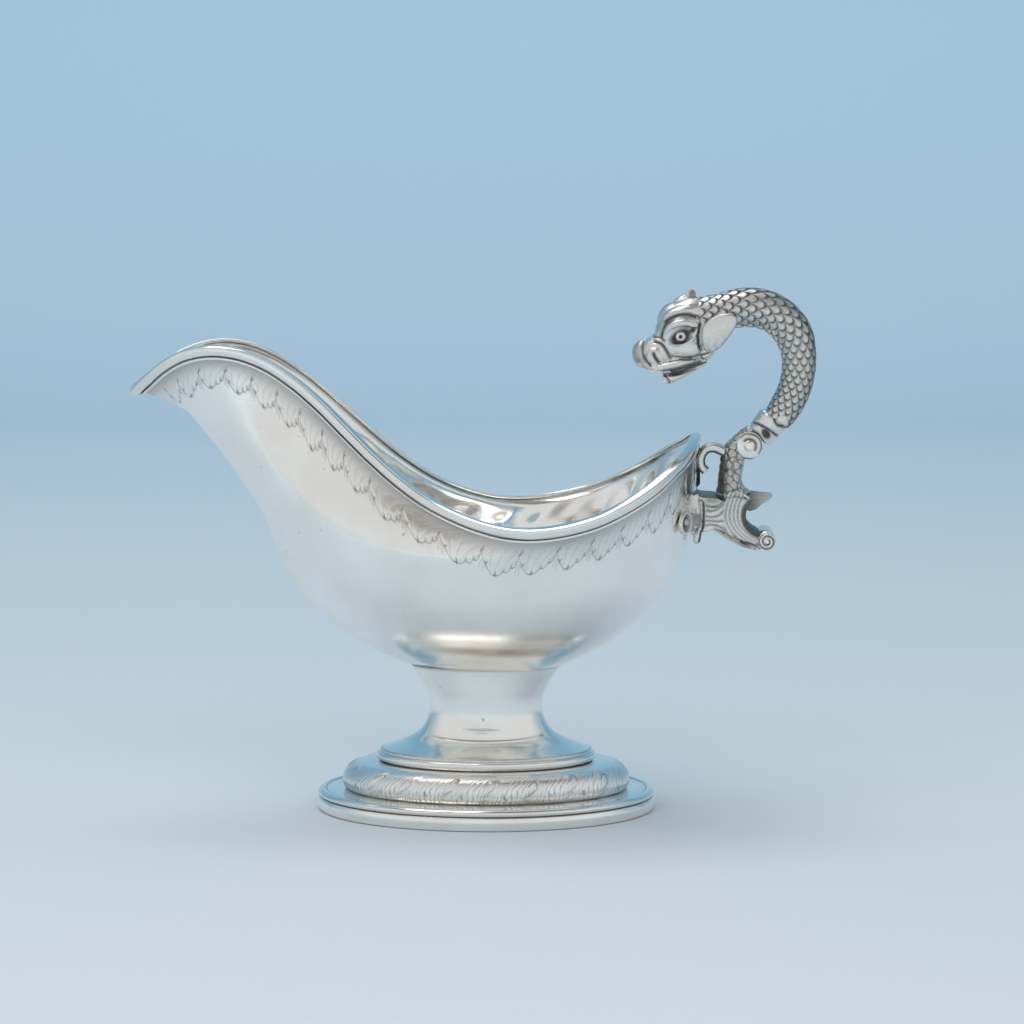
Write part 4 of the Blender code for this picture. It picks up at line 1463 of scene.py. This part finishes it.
def add_volute(name, centre, radius, half_width, turns, bead, node, open_turn=0.0):
    """Roll across the handle with a spiral cut on each end and a bead at its eye.

    With open_turn the cut is a ring, and leaves out that share of it at the lower spout side."""
    turn = circle(VOLUTE_SIDES)
    around = turn / (2 * math.pi)
    step = (radius - bead) / turns
    winding = 0.0 * around if open_turn else around
    broad = (0.17 if open_turn else 0.12) * radius
    keep = ramp((np.abs(around - OPEN_AT) - 0.5 * open_turn) / 0.06) if open_turn else 1.0
    out = np.linspace(0.02, 1.0, VOLUTE_ROWS)
    grid = []
    dark = []
    for side, shares in ((-1.0, out), (1.0, out[::-1])):
        for share in shares:
            r = share * radius
            wound = (r - bead) / step + winding
            groove = bell((wound - np.round(wound)) * step / broad) * (r > bead * 0.9)
            groove = groove * ramp((1.0 - share) / 0.06) * keep
            dome = 0.175 * radius * (1 - share**2)
            eye = 0.16 * radius * ramp((bead - r) / (0.5 * bead))
            edge = 0.12 * radius * (1 - ramp((1.0 - share) / 0.14))
            depth = half_width - edge + 0.6 * (dome + eye) - 0.11 * radius * groove
            x = centre[0] + r * np.cos(turn)
            z = centre[1] + r * np.sin(turn)
            grid.append(np.stack([x, side * depth, z], axis=1))
            dark.append(groove)
    add_rings(name, grid, dark, node, CAST_SMOOTH)


NECK = [
    (143.4, 95.6, 99.4, 3.4),
    (140.6, 92.6, 99.2, 4.2),
    (137.4, 89.2, 98.2, 5.0),
    (134.4, 87.6, 96.4, 5.8),
    (131.0, 87.0, 95.6, 6.6),
    (128.4, 86.8, 95.2, 7.2),
    (125.0, 86.4, 94.6, 7.8),
    (122.1, 86.2, 95.2, 8.6),
    (119.4, 85.6, 97.8, 9.8),
]
NECK_SIDES = 260
PEARL = 2.1


def build_neck():
    """Neck of the casting, covered with small shells and pearls."""
    turn = circle(NECK_SIDES)
    cos = squared(np.cos(turn), 0.85)
    sin = squared(np.sin(turn), 0.85)
    rings = []
    for z, left, right, half in curve_through(NECK, 110):
        x = 0.5 * (left + right) + 0.5 * (right - left) * cos
        rings.append(np.stack([x, half * sin, np.full(NECK_SIDES, z)], axis=1))
    grid = np.array(rings)
    flat = grid.reshape(-1, 3)
    draw = np.random.default_rng(7)
    seeds = flat[draw.choice(len(flat), 4000, replace=False)]
    kept = []
    for seed in seeds:
        if all(np.linalg.norm(seed - other) > PEARL for other in kept):
            kept.append(seed)
    kept = np.array(kept)
    sizes = draw.uniform(0.65, 1.45, len(kept))
    apart = np.linalg.norm(flat[:, None] - kept[None], axis=2) / sizes[None]
    near = np.sort(apart, axis=1)[:, :2]
    cap = np.sqrt(np.clip(1 - (near[:, 0] / (0.72 * PEARL)) ** 2, 0, 1))
    ring = np.cos(2 * math.pi * near[:, 0] / 0.95)
    normal = grid_normals(grid, False).reshape(-1, 3)
    outward = np.sign((normal * (flat - flat.mean(axis=0)) * [1, 1, 0]).sum(axis=1))
    height = 0.5 * cap + 0.05 * ring - 0.2
    # Oxide and painted shade between the pearls; painted shade on the lower spout side next to the bowl;
    # a little darker all over.
    seam = bell((near[:, 1] - near[:, 0]) / 0.28)
    front = ramp((90.4 - flat[:, 0]) / 3.2) * ramp((138.0 - flat[:, 2]) / 4.0)
    dark = np.maximum(seam, 0.5 * (1 - cap))
    dark = np.maximum(dark, 0.42 * np.clip(-ring, 0, 1) ** 2)
    dark = np.clip(dark + 0.6 * front + 0.14, 0, 1)
    points = flat + normal * (height * outward)[:, None]
    add_rings("shell_neck", points.reshape(grid.shape), dark, "handle_neck")


UPPER_SCROLL = [
    (91.4, 131.0), (89.6, 133.4), (87.0, 135.0), (84.0, 135.9), (81.5, 135.2), (80.0, 133.0),
    (79.7, 130.4), (80.3, 128.4), (81.4, 127.2),
]


def build_upper_scroll():
    """Reeded C-scroll strap from the neck to the peak of the rim."""
    line = curve_through(UPPER_SCROLL, 110)
    way = headings(line)
    out = np.stack([-way[:, 1], way[:, 0]], axis=1)
    share = np.linspace(0.0, 1.0, len(line))
    thick = 1.75 - 0.5 * share + 0.25 * ramp((share - 0.85) / 0.15)
    wide = 3.7 - 1.1 * share
    turn = circle(72)
    across = squared(np.cos(turn), 0.45)
    up = squared(np.sin(turn), 0.6)
    reed = 0.16 * np.cos(2 * math.pi * across * 1.5) * (np.abs(across) < 0.92)
    side = ramp((np.abs(up) - 0.55) / 0.3) * (np.abs(across) > 0.85)
    rings = np.zeros((len(line), len(turn), 3))
    body = thick[:, None] * (up + reed * np.sign(up))[None, :]
    rings[..., 0] = line[:, 0, None] + out[:, 0, None] * body
    rings[..., 2] = line[:, 1, None] + out[:, 1, None] * body
    rings[..., 1] = wide[:, None] * across[None, :]
    # Painted shade in the reed valleys, along the sides' edges and over the upper half of the strap.
    dark = np.maximum(0.8 * np.clip(-reed / 0.16, 0, 1) ** 2, 0.8 * side)
    dark = np.maximum(dark, 0.6 * np.clip(np.sin(turn), 0, 1))
    add_rings("reeded_scroll", rings, np.tile(dark, (len(line), 1)), "upper_scroll")


# Side outline of the bracket leaf, and the two edges that its flutes run between.
BRACKET = [
    (77.6, 119.4), (80.4, 118.6), (85.4, 118.4), (88.0, 117.0), (89.8, 120.2), (92.5, 120.9),
    (94.9, 120.0), (97.6, 118.2), (97.9, 116.4), (96.3, 114.2), (95.9, 111.2), (96.7, 108.6),
    (98.8, 106.2), (101.4, 104.9), (102.8, 99.6), (99.7, 98.9), (95.4, 100.1), (90.1, 102.6),
    (86.8, 104.9), (84.2, 106.4), (81.2, 105.6), (78.6, 105.8),
]
FLUTES_LOW = [(89.8, 120.6), (88.4, 116.0), (87.6, 111.4), (89.1, 107.0), (92.8, 102.9), (98.9, 99.4)]
FLUTES_HIGH = [(95.8, 119.4), (94.2, 115.9), (93.6, 111.4), (94.8, 107.7), (97.2, 105.2), (100.4, 103.2)]
FLUTES = 4.0
LEFT_FLUTES = [
    [(79.8, 113.8), (82.6, 113.2), (85.4, 114.0), (87.6, 116.0)],
    [(80.2, 111.8), (83.0, 111.2), (85.6, 111.6), (87.6, 113.4)],
    [(80.2, 109.8), (83.0, 109.8), (85.8, 109.6), (87.6, 109.8)],
    [(80.2, 107.9), (83.2, 108.4), (86.0, 107.8), (88.4, 106.4)],
    [(84.4, 107.0), (88.0, 104.9), (92.6, 102.2), (97.6, 100.2)],
]
# Raised edges of the shoulder, of the lower side and of the stub: path and radii.
BRACKET_EDGES = [
    ([(89.6, -10.8, 119.2), (92.6, -11.2, 119.9), (96.6, -11.0, 118.2)], [0.9, 1.1, 0.9]),
    (
        [(84.4, -10.9, 106.8), (89.4, -11.2, 103.9), (94.8, -11.3, 101.1), (101.0, -11.3, 99.7)],
        [0.6, 0.9, 0.9, 0.7],
    ),
    ([(78.8, -11.0, 106.4), (78.2, -11.4, 104.4), (77.9, -11.2, 102.8)], [1.2, 1.4, 1.5]),
]
# Upright ribs against the bowl: x, top, foot and radius.
BRACKET_RIBS = [
    (76.5, 119.0, 112.6, 0.8),
    (77.9, 119.4, 109.0, 0.8),
    (79.5, 116.8, 107.4, 0.9),
]


def bracket_relief(points, normals):
    """Curved flutes down the leaf, fine ones beside them, and painted shade on its rear and top faces,
    along its back edge and under it.
    """
    x = points[:, 0]
    z = points[:, 2]
    facing = ramp((np.abs(normals[:, 1]) - 0.35) / 0.3)
    low = line_distance(x, z, curve_through(FLUTES_LOW, 30))
    high = line_distance(x, z, curve_through(FLUTES_HIGH, 30))
    apart = low + high
    share = low / (apart + 1e-6)
    between = ramp((1.25 - apart / 6.2) / 0.15) * ramp((apart - 1.5) / 1.0)
    wave = np.cos(2 * math.pi * FLUTES * share)
    height = 0.3 * wave * facing * between
    # Oxide and painted shade in the flutes' valleys.
    dark = 0.85 * np.clip(-wave, 0, 1) ** 3 * facing * between
    grooves = [(path, 0.36, 0.3, 0.75) for path in LEFT_FLUTES]
    grooves += [
        ([(95.2, 118.4), (95.9, 117.9)], 0.5, 0.5, 1.0),
        ([(88.2, 117.8), (86.6, 115.9), (83.4, 115.2), (80.4, 115.8)], 0.5, 0.4, 0.8),
        ([(78.8, 118.0), (79.0, 113.0), (78.8, 108.6)], 0.35, 0.25, 0.5),
    ]
    ledge = [((83.6, 117.4), (4.0, 1.5), 0.0, -0.4, 0.6), ((79.0, 108.6), (1.2, 1.6), 0.0, 0.0, 0.4)]
    cut, shade = side_relief(points, normals, grooves, ledge)
    # Painted shade on the faces turned back and up, along the back edge and under the leaf.
    behind = ramp((normals[:, 0] - 0.1) / 0.5) + ramp((normals[:, 2] - 0.15) / 0.3) * (x > 93.8)
    rear = np.clip(behind, 0, 1) * ramp((z - 99.0) / 3.0) * ramp((118.6 - z) / 2.0)
    rim = ramp(2.1 - 0.9 * line_distance(x, z, curve_through(BRACKET[8:14], 30)))
    top = ramp((normals[:, 2] - 0.3) / 0.4) * ramp((89.0 - x) / 1.0)
    under = ramp((-normals[:, 2] - 0.5) / 0.3)
    dark = np.maximum(np.maximum(dark, shade), np.maximum(rear, 0.95 * top))
    dark = np.maximum(dark, np.maximum(rim * facing, 0.35 * under))
    return height + cut, dark


def build_bracket():
    """Fluted leaf bracket with its ribs and stub against the bowl."""
    outline = curve_through(np.vstack([round_corners(BRACKET, 0.9), BRACKET[:1]]), 160)[:-1]
    parts = [plate_part(outline, 11.0)]
    for path, radii in BRACKET_EDGES:
        parts += mirrored_tube(path, radii)
    for x, top, foot, radius in BRACKET_RIBS:
        middle = (x + 0.15, -11.4, 0.5 * (top + foot))
        parts += mirrored_tube([(x, -11.0, top), middle, (x - 0.1, -11.4, foot)], [radius] * 3)
    parts += both_sides(ball_part, (84.0, 10.2, 114.4), (3.0, 1.6, 1.2), 0.0)
    add_casting("fluted_bracket", parts, 0.36, 3, bracket_relief, "bracket_leaf")


SPUR = [
    (97.4, 119.6), (102.0, 119.2), (105.9, 118.9), (106.5, 118.0), (104.6, 116.4),
    (102.2, 115.0), (100.2, 113.2), (97.4, 112.4), (95.8, 113.6), (97.0, 116.6),
]


def build_spur():
    """Short leaf behind the neck, with three ribs."""
    grooves = [
        ([(98.0, 118.0), (102.0, 118.0), (105.6, 118.2)], 0.3, 0.25, 0.6),
        ([(98.0, 116.2), (101.0, 116.6), (104.4, 117.4)], 0.3, 0.25, 0.6),
        ([(98.0, 114.2), (100.0, 115.0), (102.4, 116.4)], 0.3, 0.25, 0.6),
    ]

    def relief(points, normals):
        height, dark = side_relief(points, normals, grooves, [])
        # Painted shade, darkest where the leaf starts behind the neck.
        shade = 0.85 - 0.5 * ramp((points[:, 0] - 97.0) / 8.0)
        return height, np.maximum(dark, shade)

    parts = [plate_part(round_corners(SPUR, 0.8), 3.4)]
    add_casting("spur_leaf", parts, 0.28, 4, relief, "bracket_spur")


CURL_TILT = math.radians(14.0)
CURL_LEAN = math.radians(36.9)
CURL_SIDES = 64
# Section of the curl's cup from its eye outwards: share of the radius, share of the height.
CURL = [
    (0.0, 0.0), (0.5, 0.05), (0.72, 0.5), (0.84, 0.95), (0.98, 1.05), (1.1, 0.8), (1.14, 0.3),
    (1.1, -0.25), (0.0, -0.3),
]


def build_side_curls():
    """Small oval curl on each side of the bowl, joined to the bracket by a short arm."""
    turn = circle(CURL_SIDES)
    profile = curve_through(CURL, 40)[1:-1]
    for side, node in ((-1.0, "side_scroll_left"), (1.0, "side_scroll_right")):
        low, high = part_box(node)
        middle = 0.5 * (np.array(low) + np.array(high)) / MM
        middle[0] -= FOOT_X / MM
        face = np.array([math.cos(CURL_LEAN), side * math.sin(CURL_LEAN), 0.0])
        level = np.array([-math.sin(CURL_LEAN), side * math.cos(CURL_LEAN), 0.0])
        upright = np.array([0.0, 0.0, 1.0])
        across = level * math.cos(CURL_TILT) + upright * math.sin(CURL_TILT)
        up = upright * math.cos(CURL_TILT) - level * math.sin(CURL_TILT)
        middle += level * 2.6 - upright * 0.5
        rings = []
        for radius, rise in profile:
            ring = middle + (
                across[None] * (3.1 * radius * np.cos(turn))[:, None]
                + up[None] * (3.9 * radius * np.sin(turn))[:, None]
                + face[None] * (1.2 * rise)
            )
            rings.append(ring)
        # Painted shade filling the hollow of the cup.
        hollow = np.clip(1.9 - 1.9 * profile[:, 0], 0, 1) * (profile[:, 1] > -0.1)
        add_rings(node + "_curl", rings, np.repeat(hollow, CURL_SIDES), node)
        arm = [
            middle - across * 1.2 + up * 0.3 - face * 0.8,
            np.array([76.2, side * 15.6, 110.6]),
            np.array([77.6, side * 11.3, 110.4]),
        ]
        points, faces = tube_part(arm, [1.7, 2.0, 2.5])
        dark = np.full(len(points), 0.35)
        add_shape(node + "_wire", points, faces, dark, CAST, "bracket_leaf")


def build_handle():
    """The whole cast handle."""
    build_serpent()
    build_head()
    build_collar()
    add_volute("collar_roll", (97.2, 137.0), 5.0, 5.9, 1.0, 2.3, "collar_volute", 0.44)
    build_neck()
    build_upper_scroll()
    build_bracket()
    add_volute("bracket_roll", (103.8, 102.3), 3.25, 12.4, 1.6, 0.9, "bracket_volute")
    build_spur()
    build_side_curls()


# --- Stage -----------------------------------------------------------------------------------


def build_stage():
    """Pale sweep with a blue-grey wall at its back."""
    half_width = 5.0
    front = -4.0
    bend = 1.55
    radius = 0.7
    top = 3.2
    line = [(front + k * (bend - front) / 12, 0.0) for k in range(13)]
    for k in range(1, 17):
        turn = 0.5 * math.pi * k / 16
        line.append((bend + radius * math.sin(turn), radius * (1 - math.cos(turn))))
    line.append((bend + radius, top))
    points = [(x, y, z) for x in (-half_width, half_width) for y, z in line]
    count = len(line)
    faces = [(i, i + 1, count + i + 1, count + i) for i in range(count - 1)]
    mesh = bpy.data.meshes.new("sweep")
    mesh.from_pydata(points, [], faces)
    mesh.shade_smooth()
    mesh.materials.append(make_paper())
    sweep = add_object("sweep", mesh)


# Colour of the sweep along its run back and up, in metres from the boat.
PAPER = [
    (-1.0, (0.96, 0.96, 0.955)),
    (-0.4, (0.72, 0.75, 0.77)),
    (0.0, (0.66, 0.71, 0.745)),
    (0.5, (0.575, 0.655, 0.705)),
    (1.2, (0.55, 0.665, 0.745)),
    (1.9, (0.50, 0.66, 0.79)),
    (2.6, (0.47, 0.67, 0.81)),
    (3.1, (0.36, 0.60, 0.78)),
    (5.0, (0.26, 0.50, 0.70)),
]


def make_paper():
    """Matt paper, pale under the boat and bluer up the wall, with a faint fibre."""
    material, tree, shader = new_material("backdrop_paper")
    set_inputs(shader, Roughness=0.85, Specular_IOR_Level=0.2)
    place = tree.nodes.new("ShaderNodeTexCoord").outputs["Object"]
    split = tree.nodes.new("ShaderNodeSeparateXYZ")
    tree.links.new(place, split.inputs["Vector"])
    run = add_math(tree, "ADD", split.outputs["Y"], split.outputs["Z"])
    low = PAPER[0][0]
    high = PAPER[-1][0]
    stops = [((at - low) / (high - low), colour) for at, colour in PAPER]
    colours = add_stops(tree, add_range(tree, run, (low, high)), stops, "EASE")
    tree.links.new(colours, shader.inputs["Base Color"])
    fibre = add_noise(tree, place, Scale=600.0, Detail=3.0)
    add_bump(tree, shader, fibre, 0.05, 0.001)
    return material


def add_softbox(name, place, aim, width, height, glow, colour, mirrored=True):
    """An area light of even glow, hidden from the camera and, unless mirrored, from the silver."""
    light = bpy.data.lights.new(name, "AREA")
    light.shape = "RECTANGLE"
    light.size = width
    light.size_y = height
    light.energy = glow * math.pi * width * height
    light.color = colour
    lamp = add_object(name, light)
    lamp.location = place
    lamp.rotation_euler = (Vector(aim) - Vector(place)).to_track_quat("-Z", "Y").to_euler()
    lamp.visible_camera = False
    lamp.visible_glossy = mirrored


def build_lights():
    """Big overhead softbox, a fill on the floor in front, a wash on the wall, and a soft room."""
    add_softbox("overhead", (-0.3, 0.15, 1.9), (0.0, 0.05, 0.1), 2.0, 0.9, 2.2, (1.0, 0.99, 0.97))
    add_softbox("floor_fill", (0.0, -1.8, 1.6), (0.0, -1.5, 0.0), 3.4, 1.4, 1.1, (1.0, 1.0, 1.0), False)
    add_softbox("wall_wash", (0.0, 0.6, 2.4), (0.0, 2.2, 0.5), 3.4, 0.5, 1.5, (0.97, 0.99, 1.0))
    build_room()


# Glow of the room from its floor to overhead.
ROOM = [
    (0.0, (0.74, 0.77, 0.78)),
    (0.66, (0.70, 0.715, 0.72)),
    (0.80, (0.26, 0.22, 0.19)),
    (1.0, (0.22, 0.20, 0.19)),
]
ROOM_BEHIND = (0.36, 0.49, 0.58)


def build_room():
    """Glow of the room: pale in front, dim and warm overhead, blue behind."""
    room = bpy.data.worlds.new("room")
    room.use_nodes = True
    tree = room.node_tree
    glow = tree.nodes["Background"]
    glow.inputs["Strength"].default_value = 1.0
    place = tree.nodes.new("ShaderNodeTexCoord")
    split = tree.nodes.new("ShaderNodeSeparateXYZ")
    tree.links.new(place.outputs["Generated"], split.inputs["Vector"])
    height = add_stops(tree, split.outputs["Z"], ROOM)
    behind = add_range(tree, split.outputs["Y"], (-0.35, 0.15))
    tree.links.new(add_mix(tree, behind, height, ROOM_BEHIND), glow.inputs["Color"])
    bpy.context.scene.world = room


def build_camera():
    """Long lens, a little above the rim, square to the boat's side."""
    target = Vector((FOOT_X + 0.0097, 0.0, 0.1116))
    turn = math.radians(1.2)
    away = 1.2
    camera = bpy.data.cameras.new("camera")
    camera.lens = 114.33
    camera.sensor_width = 36.0
    camera.clip_start = 0.05
    camera.clip_end = 50.0
    holder = add_object("camera", camera)
    holder.location = target + Vector((away * math.sin(turn), -away * math.cos(turn), 0.145))
    holder.rotation_euler = (target - holder.location).to_track_quat("-Z", "Y").to_euler()
    bpy.context.scene.camera = holder


build_stage()
build_lights()
build_camera()
build_body()
build_rim()
build_foot()
build_handle()
bpy.context.scene.view_settings.view_transform = "Standard"
